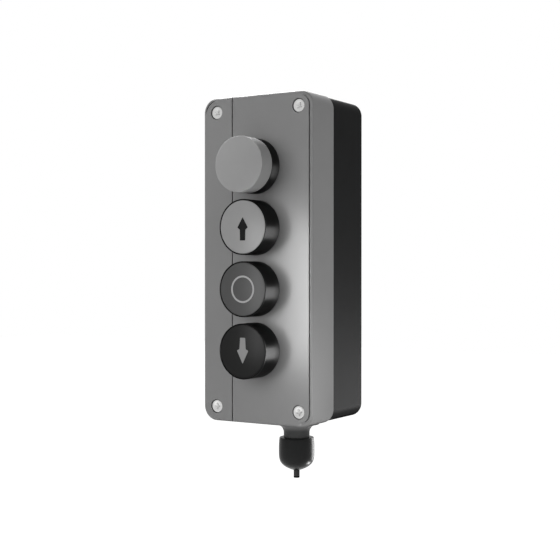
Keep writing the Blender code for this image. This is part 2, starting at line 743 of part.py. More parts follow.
def make_rear_block(name, seat, material):
    """The block behind an adapter, with its hooks, terminal pockets and conductor inlet."""
    half_width = BLOCK_WIDTH / 2
    half_height = BLOCK_HEIGHT / 2
    drill_end = BLOCK_BACK + TERMINAL_HEAD_HEIGHT + TERMINAL_SHANK_LENGTH + 2 * SEAT_GAP
    block = box(
        name, (-half_width, -half_height, BLOCK_BACK), (half_width, half_height, BLOCK_FRONT), BLOCK_BEVEL
    )
    for i, side in enumerate((-1, 1)):
        low, high = sorted((side * (half_height - OVERCUT), side * (half_height + BLOCK_HOOK_REACH)))
        hook = box(
            f"{name}_hook_{i}",
            (-BLOCK_HOOK_WIDTH / 2, low, BLOCK_FRONT - BLOCK_BEVEL - BLOCK_HOOK_DEPTH),
            (BLOCK_HOOK_WIDTH / 2, high, BLOCK_FRONT - BLOCK_BEVEL),
        )
        finish_cutter(hook, parent=seat)
        join(block, hook)
        centre = (0.0, side * TERMINAL_SPACING / 2)
        pocket = cylinder(
            f"{name}_pocket_{i}", TERMINAL_HEAD_DIAMETER / 2 + SEAT_GAP, BLOCK_BACK - OVERCUT,
            BLOCK_BACK + TERMINAL_HEAD_HEIGHT + SEAT_GAP, TERMINAL_STEPS, centre,
        )
        drill = cylinder(
            f"{name}_drill_{i}", TERMINAL_SHANK_DIAMETER / 2 + SEAT_GAP, BLOCK_BACK - OVERCUT,
            drill_end, TERMINAL_STEPS, centre,
        )
        finish_cutter(pocket, parent=seat)
        finish_cutter(drill, parent=seat)
        cut(block, pocket, drill)
    inlet = cylinder(
        f"{name}_inlet", CORE_DIAMETER / 2 + SEAT_GAP, BLOCK_BACK - OVERCUT,
        BLOCK_BACK + CORE_INLET_DEPTH, TERMINAL_STEPS, (CORE_INLET_OFFSET, -TERMINAL_SPACING / 2),
    )
    finish_cutter(inlet, parent=seat)
    cut(block, inlet)
    finish_part(block, material, parent=seat)
    return block


def make_terminal_screws(prefix, seat, material):
    """Two terminal screws with their heads to the rear."""
    head = TERMINAL_HEAD_DIAMETER / 2
    shank = TERMINAL_SHANK_DIAMETER / 2
    seat_z = BLOCK_BACK + TERMINAL_HEAD_HEIGHT
    profile = [
        (0.0, seat_z + TERMINAL_SHANK_LENGTH),
        (shank, seat_z + TERMINAL_SHANK_LENGTH),
        (shank, seat_z),
        (head, seat_z),
        (head, BLOCK_BACK),
        (0.0, BLOCK_BACK),
    ]
    for i, side in enumerate((1, -1), start=1):
        place = (0.0, side * TERMINAL_SPACING / 2, 0.0)
        screw = turned(f"{prefix}_terminal_{i}", profile, TERMINAL_STEPS)
        slot = box(
            f"{prefix}_terminal_slot_{i}",
            (-head - OVERCUT, -TERMINAL_SLOT_WIDTH / 2, BLOCK_BACK - OVERCUT),
            (head + OVERCUT, TERMINAL_SLOT_WIDTH / 2, BLOCK_BACK + TERMINAL_SLOT_DEPTH),
        )
        finish_cutter(slot, parent=seat, location=place)
        cut(screw, slot)
        finish_part(screw, material, parent=seat, location=place)


def make_bezel(prefix, seat, material):
    """The fixed head of a push-button: rim, gasket recess, barrel and stem guide in one piece."""
    cap_bore = HEAD_RADIUS - BEZEL_WALL
    cap_floor = cap_bottom() - PRESS_TRAVEL - SEAT_GAP
    guide_bore = STEM_DIAMETER / 2 + SEAT_GAP
    profile = [
        (cap_bore, BUTTON_HEIGHT),
        (HEAD_RADIUS - RIM_CHAMFER, BUTTON_HEIGHT),
        (HEAD_RADIUS, BUTTON_HEIGHT - RIM_CHAMFER),
        *head_rear_profile(),
        (guide_bore, BARREL_END),
        (guide_bore, BARREL_END + GUIDE_THICKNESS),
        (BARREL_BORE_RADIUS, BARREL_END + GUIDE_THICKNESS),
        (BARREL_BORE_RADIUS, cap_floor),
        (cap_bore, cap_floor),
    ]
    bezel = turned(f"{prefix}_bezel", profile, HEAD_STEPS, closed=True)
    make_head_key(bezel, prefix, seat)
    finish_part(bezel, material, parent=seat)


def plate_back():
    return BUTTON_HEIGHT - PLATE_SINK - PLATE_THICKNESS


def cap_bottom():
    return plate_back() - SEAT_GAP - CAP_SKIRT_HEIGHT


def cap_underside():
    return plate_back() - SEAT_GAP - CAP_FRONT_WALL


def cap_radius():
    return HEAD_RADIUS - BEZEL_WALL - RUN_GAP


def make_cap(prefix, travel, material):
    """The moving cap with its stem, which ends in a collar behind the guide."""
    front = plate_back() - SEAT_GAP
    skirt_bore = cap_radius() - CAP_SKIRT_WALL
    stem = STEM_DIAMETER / 2
    collar = STEM_COLLAR_DIAMETER / 2
    collar_top = BARREL_END - SEAT_GAP
    collar_bottom = collar_top - STEM_COLLAR_HEIGHT
    profile = [
        (0.0, front),
        (cap_radius(), front),
        (cap_radius(), cap_bottom()),
        (skirt_bore, cap_bottom()),
        (skirt_bore, cap_underside()),
        (stem, cap_underside()),
        (stem, collar_top),
        (collar, collar_top),
        (collar, collar_bottom),
        (stem, STEM_END),
        (0.0, STEM_END),
    ]
    finish_part(turned(f"{prefix}_cap", profile, HEAD_STEPS), material, parent=travel)


def make_plate(prefix, travel, material):
    """The disc that shows the button's symbol and lies on the cap."""
    profile = [
        (0.0, BUTTON_HEIGHT - PLATE_SINK),
        (cap_radius(), BUTTON_HEIGHT - PLATE_SINK),
        (cap_radius(), plate_back()),
        (0.0, plate_back()),
    ]
    finish_part(turned(f"{prefix}_plate", profile, HEAD_STEPS), material, parent=travel)


def tube(name, points, diameter, resolution):
    """A round bar along a list of points, as a mesh with welded caps."""
    curve = bpy.data.curves.new(name, "CURVE")
    curve.dimensions = "3D"
    curve.bevel_depth = diameter / 2
    curve.bevel_resolution = resolution
    curve.use_fill_caps = True
    spline = curve.splines.new("POLY")
    spline.points.add(len(points) - 1)
    for control, point in zip(spline.points, points):
        control.co = (*point, 1.0)
    guide = bpy.data.objects.new(f"{name}_guide", curve)
    CUTTERS.objects.link(guide)
    bpy.context.view_layer.update()
    graph = bpy.context.evaluated_depsgraph_get()
    mesh = bpy.data.meshes.new_from_object(guide.evaluated_get(graph))
    bpy.data.objects.remove(guide, do_unlink=True)
    shape = bmesh.new()
    shape.from_mesh(mesh)
    bmesh.ops.remove_doubles(shape, verts=shape.verts, dist=WELD)
    shape.to_mesh(mesh)
    shape.free()
    mesh.shade_smooth()
    mesh.set_sharp_from_angle(angle=SMOOTH_ANGLE)
    return bpy.data.objects.new(name, mesh)


def make_return_spring(prefix, seat, material):
    """The compression spring round the stem, between the guide and the cap."""
    wire = SPRING_WIRE / 2
    radius = SPRING_DIAMETER / 2
    low = BARREL_END + GUIDE_THICKNESS + SEAT_GAP + wire
    high = cap_underside() - SEAT_GAP - wire
    count = SPRING_TURNS * SPRING_STEPS
    points = []
    for i in range(count + 1):
        angle = math.tau * i / SPRING_STEPS
        height = low + (high - low) * i / count
        points.append((radius * math.cos(angle), radius * math.sin(angle), height))
    spring = tube(f"{prefix}_return_spring", points, SPRING_WIRE, 1)
    finish_part(spring, material, parent=seat)


def make_plunger(prefix, travel, material):
    """The contact plunger that the stem pushes into its block."""
    top = STEM_END - SEAT_GAP
    radius = PLUNGER_DIAMETER / 2
    profile = [
        (0.0, top),
        (radius - PLUNGER_CHAMFER, top),
        (radius, top - PLUNGER_CHAMFER),
        (radius, top - PLUNGER_LENGTH),
        (0.0, top - PLUNGER_LENGTH),
    ]
    finish_part(turned(f"{prefix}_plunger", profile, TERMINAL_STEPS), material, parent=travel)


def make_contact_block(prefix, seat, material):
    block = make_rear_block(f"{prefix}_contact_block", seat, material)
    bottom = STEM_END - PLUNGER_LENGTH - PRESS_TRAVEL - 2 * SEAT_GAP
    bore = cylinder(
        f"{prefix}_plunger_bore", PLUNGER_DIAMETER / 2 + SEAT_GAP, bottom, BLOCK_FRONT + OVERCUT,
        TERMINAL_STEPS,
    )
    finish_cutter(bore, parent=seat)
    cut(block, bore)


def make_button(prefix, height, plate_material, finishes):
    seat = add_empty(f"{prefix}_seat", (0.0, FRONT_Y, height), turned_to_front=True)
    travel = add_empty(f"{prefix}_travel", (0.0, 0.0, 0.0), parent=seat)
    make_bezel(prefix, seat, finishes["gloss_black"])
    make_cap(prefix, travel, finishes["matt_black"])
    make_plate(prefix, travel, plate_material)
    make_return_spring(prefix, seat, finishes["steel"])
    make_panel_gasket(prefix, seat, finishes["rubber"])
    make_fixing_nut(prefix, seat, finishes["nut_grey"])
    make_adapter(prefix, seat, finishes["nut_grey"])
    make_contact_block(prefix, seat, finishes["block_grey"])
    make_plunger(prefix, travel, finishes["plunger_white"])
    make_terminal_screws(prefix, seat, finishes["steel"])


def make_lens(seat, material):
    """A cup-shaped lens whose skirt screws into the collar."""
    shoulder = LAMP_COLLAR_HEIGHT + SEAT_GAP
    skirt = HEAD_RADIUS - COLLAR_WALL - SEAT_GAP
    skirt_end = shoulder - LENS_SKIRT_LENGTH
    bore = skirt - LENS_SIDE_WALL
    rounding = arc(
        (HEAD_RADIUS - LENS_FILLET, LAMP_HEIGHT - LENS_FILLET), LENS_FILLET, 90, 0, FILLET_SEGMENTS
    )
    profile = [
        (0.0, LAMP_HEIGHT),
        *rounding,
        (HEAD_RADIUS, shoulder),
        (skirt, shoulder),
        (skirt, skirt_end),
        (bore, skirt_end),
        (bore, LAMP_HEIGHT - LENS_FRONT_WALL),
        (0.0, LAMP_HEIGHT - LENS_FRONT_WALL),
    ]
    finish_part(turned("lamp_lens", profile, HEAD_STEPS), material, parent=seat)


def make_lamp_collar(seat, material):
    floor = LAMP_COLLAR_HEIGHT - LENS_SKIRT_LENGTH
    profile = [
        (HEAD_RADIUS - COLLAR_WALL, LAMP_COLLAR_HEIGHT),
        (HEAD_RADIUS, LAMP_COLLAR_HEIGHT),
        *head_rear_profile(),
        (BARREL_BORE_RADIUS, BARREL_END),
        (BARREL_BORE_RADIUS, floor),
        (HEAD_RADIUS - COLLAR_WALL, floor),
    ]
    collar = turned("lamp_collar", profile, HEAD_STEPS, closed=True)
    make_head_key(collar, "lamp", seat)
    finish_part(collar, material, parent=seat)


def make_led_block(seat, material):
    block = make_rear_block("lamp_led_block", seat, material)
    pedestal = cylinder(
        "lamp_pedestal", LED_PEDESTAL_DIAMETER / 2, BLOCK_FRONT - OVERCUT,
        BLOCK_FRONT + LED_PEDESTAL_LENGTH, BORE_STEPS,
    )
    finish_cutter(pedestal, parent=seat)
    join(block, pedestal)


def make_led(seat, material):
    foot = BLOCK_FRONT + LED_PEDESTAL_LENGTH + SEAT_GAP
    radius = LED_DIAMETER / 2
    dome = arc((0.0, foot + LED_HEIGHT - radius), radius, 90, 0, DOME_SEGMENTS)
    profile = [(0.0, foot + LED_HEIGHT), *dome[1:], (radius, foot), (0.0, foot)]
    finish_part(turned("lamp_led", profile, SMALL_STEPS), material, parent=seat)


def make_lamp(height, finishes):
    seat = add_empty("lamp_seat", (0.0, FRONT_Y, height), turned_to_front=True)
    make_lamp_collar(seat, finishes["gloss_black"])
    make_lens(seat, finishes["lens_grey"])
    make_panel_gasket("lamp", seat, finishes["rubber"])
    make_fixing_nut("lamp", seat, finishes["nut_grey"])
    make_adapter("lamp", seat, finishes["nut_grey"])
    make_led_block(seat, finishes["block_grey"])
    make_led(seat, finishes["led_clear"])
    make_terminal_screws("lamp", seat, finishes["steel"])


def gland_levels():
    """Heights of the gland's steps, from the housing's bottom face down."""
    washer_top = -BASE_HALF_HEIGHT - SEAT_GAP
    washer_bottom = washer_top - GLAND_WASHER_THICKNESS
    hex_top = washer_bottom - SEAT_GAP
    hex_bottom = hex_top - GLAND_HEX_HEIGHT
    neck_top = hex_bottom - GLAND_FLARE_HEIGHT
    neck_bottom = neck_top - GLAND_NECK_HEIGHT
    return washer_top, washer_bottom, hex_top, hex_bottom, neck_top, neck_bottom


def nut_top():
    return gland_levels()[-1]


def make_gland_body(seat, material):
    """Thread, hexagon, flared neck and stub, with a bore that widens to hold the seal."""
    hex_top, hex_bottom, neck_top, neck_bottom = gland_levels()[2:]
    thread = GLAND_THREAD_DIAMETER / 2
    neck = GLAND_STUB_RADIUS + GLAND_NECK_STEP
    stub_end = neck_bottom - GLAND_STUB_LENGTH
    seal_seat = stub_end + GLAND_SEAL_LENGTH + 2 * SEAT_GAP
    flare_out = GLAND_HEX_ACROSS_FLATS / 2 - GLAND_FLARE_INSET
    flare = []
    for i in range(DOME_SEGMENTS + 1):
        turn = math.pi / 2 * i / DOME_SEGMENTS
        flare.append(
            (
                neck + (flare_out - neck) * (1 - math.sin(turn)),
                neck_top + (hex_bottom - neck_top) * math.cos(turn),
            )
        )
    profile = [
        (GLAND_BORE / 2, GLAND_THREAD_TOP),
        (thread, GLAND_THREAD_TOP),
        (thread, hex_top - GLAND_FLARE_INSET),
        (flare_out, hex_top - GLAND_FLARE_INSET),
        *flare,
        (neck, neck_bottom),
        (GLAND_STUB_RADIUS, neck_bottom),
        (GLAND_STUB_RADIUS, stub_end),
        (GLAND_SEAL_BORE_RADIUS, stub_end),
        (GLAND_SEAL_BORE_RADIUS, seal_seat),
        (GLAND_BORE / 2, seal_seat),
    ]
    body = turned("gland_body", profile, BORE_STEPS, closed=True)
    collar = cylinder(
        "gland_hexagon", hex_radius(GLAND_HEX_ACROSS_FLATS), hex_bottom, hex_top, 6, turn=math.pi / 6
    )
    collar_bore = cylinder(
        "gland_hexagon_bore", (GLAND_BORE / 2 + thread) / 2, hex_bottom - OVERCUT, hex_top + OVERCUT,
        BORE_STEPS,
    )
    finish_cutter(collar, parent=seat)
    finish_cutter(collar_bore, parent=seat)
    cut(collar, collar_bore)
    join(body, collar)
    finish_part(body, material, parent=seat)


def make_gland_washer(seat, material):
    top, bottom = gland_levels()[:2]
    inner = GLAND_THREAD_DIAMETER / 2 + SEAT_GAP
    outer = inner + GLAND_WASHER_WIDTH
    profile = [(outer, top), (outer, bottom), (inner, bottom), (inner, top)]
    finish_part(turned("gland_washer", profile, BORE_STEPS, closed=True), material, parent=seat)


def make_gland_locknut(seat, material):
    low = -INNER_HALF_HEIGHT + SEAT_GAP
    high = low + LOCKNUT_THICKNESS
    nut = cylinder("gland_locknut", hex_radius(LOCKNUT_ACROSS_FLATS), low, high, 6, turn=math.pi / 6)
    bore = cylinder(
        "gland_locknut_bore", GLAND_THREAD_DIAMETER / 2 + SEAT_GAP, low - OVERCUT, high + OVERCUT,
        BORE_STEPS,
    )
    finish_cutter(bore, parent=seat)
    cut(nut, bore)
    finish_part(nut, material, parent=seat)


def make_gland_seal(seat, material):
    low = nut_top() - GLAND_STUB_LENGTH + SEAT_GAP
    high = low + GLAND_SEAL_LENGTH
    outer = GLAND_SEAL_DIAMETER / 2
    inner = CABLE_DIAMETER / 2 + SEAT_GAP
    profile = [(outer, high), (outer, low), (inner, low), (inner, high)]
    finish_part(turned("gland_seal", profile, BORE_STEPS, closed=True), material, parent=seat)


def dome_nut_end():
    return nut_top() - DOME_NUT_HEIGHT


def make_dome_nut(seat, material):
    """The cap nut: a slightly tapered barrel that rounds over into a shallow nose."""
    top = nut_top() - SEAT_GAP
    end = dome_nut_end()
    outer = DOME_NUT_BORE_RADIUS + DOME_NUT_THREAD_WALL
    lower = outer - DOME_NUT_TAPER
    shoulder = end + DOME_RADIUS
    nose = DOME_NOSE_DIAMETER / 2
    cable_bore = CABLE_DIAMETER / 2 + SEAT_GAP
    stub_end = nut_top() - GLAND_STUB_LENGTH
    drop = DOME_RADIUS - DOME_NOSE_HEIGHT
    rounding = []
    for i in range(DOME_SEGMENTS + 1):
        turn = math.pi / 2 * i / DOME_SEGMENTS
        rounding.append((nose + (lower - nose) * math.cos(turn), shoulder - drop * math.sin(turn)))
    profile = [
        (DOME_NUT_BORE_RADIUS, top),
        (outer, top),
        *rounding,
        (cable_bore + DOME_NOSE_RIM, end),
        (cable_bore, end),
        (cable_bore, end + DOME_NUT_END_WALL),
        (DOME_NUT_BORE_RADIUS, stub_end - SEAT_GAP),
    ]
    finish_part(turned("gland_dome_nut", profile, BORE_STEPS, closed=True), material, parent=seat)


def make_gland(finishes):
    seat = add_empty("gland_seat", (0.0, -GLAND_DEPTH, 0.0))
    make_gland_body(seat, finishes["gland_grey"])
    make_gland_washer(seat, finishes["rubber"])
    make_gland_locknut(seat, finishes["nut_grey"])
    make_gland_seal(seat, finishes["rubber"])
    make_dome_nut(seat, finishes["matt_black"])


def smooth_route(stops):
    """Points read from a Catmull-Rom curve through the stops."""
    padded = [stops[0] * 2 - stops[1], *stops, stops[-1] * 2 - stops[-2]]
    points = []
    for a, b, c, d in zip(padded, padded[1:], padded[2:], padded[3:]):
        for i in range(ROUTE_STEPS):
            t = i / ROUTE_STEPS
            bend = 2 * a - 5 * b + 4 * c - d
            twist = 3 * b - a - 3 * c + d
            points.append((2 * b + (c - a) * t + bend * t**2 + twist * t**3) / 2)
    points.append(stops[-1])
    return points


def cable_inner_end():
    return GLAND_THREAD_TOP + CABLE_INNER_LENGTH


def make_cable(material):
    end = dome_nut_end() - CABLE_TAIL_LENGTH
    points = [(0.0, -GLAND_DEPTH, z) for z in (end, cable_inner_end())]
    finish_part(tube("cable_sheath", points, CABLE_DIAMETER, 2), material)


def make_cores(finishes):
    """One conductor from the sheath's end up behind the blocks to each block's inlet."""
    quarter = CABLE_DIAMETER / 4
    start_z = cable_inner_end() + SEAT_GAP
    heights = operator_heights()
    lane_start_z = heights[-1] - BLOCK_HEIGHT / 2 - BLOCK_HOOK_REACH - 2 * CORE_DIAMETER
    back_y = FRONT_Y - BLOCK_BACK
    lane_y = (back_y - BACK_WALL - BASE_RIB_HEIGHT) / 2
    inlet_y = back_y - CORE_INLET_DEPTH + SEAT_GAP
    cores = (
        ("core_lamp", -quarter, -quarter),
        ("core_up", -quarter, quarter),
        ("core_stop", quarter, quarter),
        ("core_down", quarter, -quarter),
    )
    for i, ((name, x, dy), height) in enumerate(zip(cores, heights)):
        y = dy - GLAND_DEPTH
        lane_x = CORE_LANE_PITCH * (i - (OPERATOR_COUNT - 1) / 2)
        inlet_z = height - TERMINAL_SPACING / 2
        stops = [
            Vector((x, y, start_z)),
            Vector((x, y, start_z + CORE_FAN_START)),
            Vector(((x + lane_x) / 2, lane_y, lane_start_z)),
        ]
        if inlet_z - 2 * CORE_SWING > lane_start_z:
            stops.append(Vector((lane_x, lane_y, lane_start_z + CORE_SWING)))
            stops.append(Vector((lane_x, lane_y, inlet_z - CORE_SWING)))
        stops += [
            Vector((CORE_INLET_OFFSET, lane_y - CORE_BEND, inlet_z - CORE_BEND)),
            Vector((CORE_INLET_OFFSET, back_y + CORE_DIAMETER, inlet_z)),
            Vector((CORE_INLET_OFFSET, inlet_y, inlet_z)),
        ]
        finish_part(tube(name, smooth_route(stops), CORE_DIAMETER, 1), finishes[name])


def main():
    finishes = {
        "cover_grey": plastic("cover_grey", (0.30, 0.30, 0.30), 0.45),
        "base_black": plastic("base_black", (0.02, 0.021, 0.022), 0.5),
        "gloss_black": plastic("gloss_black", (0.01, 0.01, 0.01), 0.2),
        "matt_black": plastic("matt_black", (0.018, 0.018, 0.018), 0.45),
        "lens_grey": plastic("lens_grey", (0.30, 0.30, 0.30), 0.35),
        "plate_grey": plastic("plate_grey", (0.33, 0.33, 0.33), 0.4),
        "plate_dark": plastic("plate_dark", (0.09, 0.09, 0.09), 0.4),
        "plate_black": plastic("plate_black", (0.03, 0.03, 0.03), 0.4),
        "nut_grey": plastic("nut_grey", (0.16, 0.16, 0.16), 0.5),
        "block_grey": plastic("block_grey", (0.22, 0.22, 0.22), 0.5),
        "plunger_white": plastic("plunger_white", (0.7, 0.7, 0.68), 0.4),
        "led_clear": plastic("led_clear", (0.8, 0.8, 0.78), 0.1),
        "gland_grey": plastic("gland_grey", (0.10, 0.10, 0.10), 0.5),
        "rubber": plastic("rubber", (0.015, 0.015, 0.015), 0.8),
        "steel": plastic("steel", (0.75, 0.75, 0.74), 0.3, 1.0),
        "core_lamp": plastic("core_black", (0.03, 0.03, 0.03), 0.5),
        "core_up": plastic("core_brown", (0.35, 0.17, 0.08), 0.5),
        "core_stop": plastic("core_grey", (0.4, 0.4, 0.4), 0.5),
        "core_down": plastic("core_blue", (0.05, 0.1, 0.4), 0.5),
    }
    make_rear_housing(finishes["base_black"])
    make_front_cover(finishes["cover_grey"])
    make_cover_gasket(finishes["rubber"])
    make_cover_screws(finishes["steel"])
    heights = operator_heights()
    make_lamp(heights[0], finishes)
    make_button("up", heights[1], finishes["plate_grey"], finishes)
    make_button("stop", heights[2], finishes["plate_dark"], finishes)
    make_button("down", heights[3], finishes["plate_black"], finishes)
    make_gland(finishes)
    make_cable(finishes["matt_black"])
    make_cores(finishes)


main()
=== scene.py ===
import math

import bmesh
import bpy
from mathutils import Matrix, Vector


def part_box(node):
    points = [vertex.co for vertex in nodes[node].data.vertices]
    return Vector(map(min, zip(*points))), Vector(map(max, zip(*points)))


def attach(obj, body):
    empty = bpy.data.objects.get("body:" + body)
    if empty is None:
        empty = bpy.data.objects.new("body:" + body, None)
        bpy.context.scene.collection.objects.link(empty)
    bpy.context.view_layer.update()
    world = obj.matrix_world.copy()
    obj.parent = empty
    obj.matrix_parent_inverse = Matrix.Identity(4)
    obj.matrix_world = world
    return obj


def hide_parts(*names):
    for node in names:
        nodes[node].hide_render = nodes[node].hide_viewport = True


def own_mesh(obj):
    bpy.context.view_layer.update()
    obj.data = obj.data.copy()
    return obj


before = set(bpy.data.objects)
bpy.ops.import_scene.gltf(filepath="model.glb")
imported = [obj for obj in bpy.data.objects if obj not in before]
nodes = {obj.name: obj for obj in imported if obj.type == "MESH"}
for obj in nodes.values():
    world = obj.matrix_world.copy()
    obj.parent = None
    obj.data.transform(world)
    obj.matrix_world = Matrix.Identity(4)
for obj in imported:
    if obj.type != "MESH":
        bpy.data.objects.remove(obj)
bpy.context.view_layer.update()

mm = 0.001
headHeights = {"lamp": 50.0, "up": 17.0, "stop": -16.0, "down": -49.0}  # z of each head, mm
frontY = -57.0
glandY = -15.0
print("frame loaded:", len(nodes), "nodes")


# camera first
photoView = {"place": (0.32824, -0.56009, -0.00638), "ahead": (-0.52863, 0.84882, -0.00800), "lens": 71.52}
cameraData = bpy.data.cameras.new("photoCamera")
cameraData.lens = photoView["lens"]
cameraData.sensor_width = 36.0
cameraData.clip_start = 0.01
camera = bpy.data.objects.new("photoCamera", cameraData)
camera.location = photoView["place"]
camera.rotation_euler = Vector(photoView["ahead"]).to_track_quat("-Z", "Y").to_euler()
bpy.context.scene.collection.objects.link(camera)
bpy.context.scene.camera = camera
bpy.context.scene.view_settings.view_transform = "Standard"


def link(piece):
    bpy.context.scene.collection.objects.link(piece)
    return piece


# materials: every one reads Object coordinates, so a pattern stays on its piece
def addNode(tree, kind, **sockets):
    node = tree.nodes.new(kind)
    for name, value in sockets.items():
        node.inputs[name.replace("_", " ")].default_value = value
    return node


def addMath(tree, operation, second=None):
    node = tree.nodes.new("ShaderNodeMath")
    node.operation = operation
    if second is not None:
        node.inputs[1].default_value = second
    return node


def moulded(name, colour, roughness, specular=0.5, grain=0.25, grainDepth=0.01, mottle=0.06,
            patch=18.0, roughSpread=0.06, metallic=0.0, lathe=0.0, streak=0.0, paintedShadeBelow=False):
    material = bpy.data.materials.new(name)  # grain, grainDepth and patch are in mm
    material.use_nodes = True
    tree = material.node_tree
    shader = tree.nodes["Principled BSDF"]
    shader.inputs["Metallic"].default_value = metallic
    shader.inputs["Specular IOR Level"].default_value = specular
    place = tree.nodes.new("ShaderNodeTexCoord")
    fine = addNode(tree, "ShaderNodeTexNoise", Scale=1.0 / (grain * mm), Detail=3.0, Roughness=0.55)
    broad = addNode(tree, "ShaderNodeTexNoise", Scale=1.0 / (patch * mm), Detail=4.0, Roughness=0.6)
    tree.links.new(place.outputs["Object"], fine.inputs["Vector"])
    tree.links.new(place.outputs["Object"], broad.inputs["Vector"])
    if streak:  # drawn marks, long across X and short along the others
        stretch = tree.nodes.new("ShaderNodeMapping")
        stretch.inputs["Scale"].default_value = (streak, 1.0, 1.0)
        tree.links.new(place.outputs["Object"], stretch.inputs["Vector"])
        tree.links.new(stretch.outputs["Vector"], fine.inputs["Vector"])
    tone = tree.nodes.new("ShaderNodeValToRGB")
    tone.color_ramp.elements[0].position = 0.32
    tone.color_ramp.elements[1].position = 0.68
    tone.color_ramp.elements[0].color = (*[c * (1 - mottle) for c in colour], 1.0)
    tone.color_ramp.elements[1].color = (*[c * (1 + mottle) for c in colour], 1.0)
    tree.links.new(broad.outputs["Fac"], tone.inputs["Fac"])
    tree.links.new(tone.outputs["Color"], shader.inputs["Base Color"])
    gloss = addNode(tree, "ShaderNodeMapRange", From_Min=0.3, From_Max=0.7,
                    To_Min=roughness - roughSpread / 2, To_Max=roughness + roughSpread / 2)
    tree.links.new(fine.outputs["Fac"], gloss.inputs["Value"])
    tree.links.new(gloss.outputs["Result"], shader.inputs["Roughness"])
    bump = addNode(tree, "ShaderNodeBump", Distance=grainDepth * mm, Strength=0.6)
    tree.links.new(fine.outputs["Fac"], bump.inputs["Height"])
    tree.links.new(bump.outputs["Normal"], shader.inputs["Normal"])
    if paintedShadeBelow:  # painted shade: faces that look down shine less, so the shells' undersides render darker
        down = tree.nodes.new("ShaderNodeSeparateXYZ")
        shine = addNode(tree, "ShaderNodeMapRange", From_Min=-0.8, From_Max=-0.1, To_Min=0.0,
                        To_Max=specular)
        tree.links.new(place.outputs["Normal"], down.inputs["Vector"])
        tree.links.new(down.outputs["Z"], shine.inputs["Value"])
        tree.links.new(shine.outputs["Result"], shader.inputs["Specular IOR Level"])
    if lathe:  # fine turning marks run round the head's axis, which is Y
        shader.inputs["Anisotropic Rotation"].default_value = 0.25
        facing = tree.nodes.new("ShaderNodeNewGeometry")
        around = tree.nodes.new("ShaderNodeVectorMath")
        around.operation = "CROSS_PRODUCT"
        around.inputs[1].default_value = (0.0, 1.0, 0.0)
        toFront = tree.nodes.new("ShaderNodeSeparateXYZ")
        sideways = addMath(tree, "ABSOLUTE")
        strength = addNode(tree, "ShaderNodeMapRange", From_Min=0.05, From_Max=0.4, To_Min=lathe,
                           To_Max=0.0)  # the flat faces have no turning marks
        tree.links.new(facing.outputs["Normal"], toFront.inputs["Vector"])
        tree.links.new(toFront.outputs["Y"], sideways.inputs[0])
        tree.links.new(sideways.outputs["Value"], strength.inputs["Value"])
        tree.links.new(strength.outputs["Result"], shader.inputs["Anisotropic"])
        tree.links.new(facing.outputs["Normal"], around.inputs[0])
        tree.links.new(around.outputs["Vector"], shader.inputs["Tangent"])
    return material


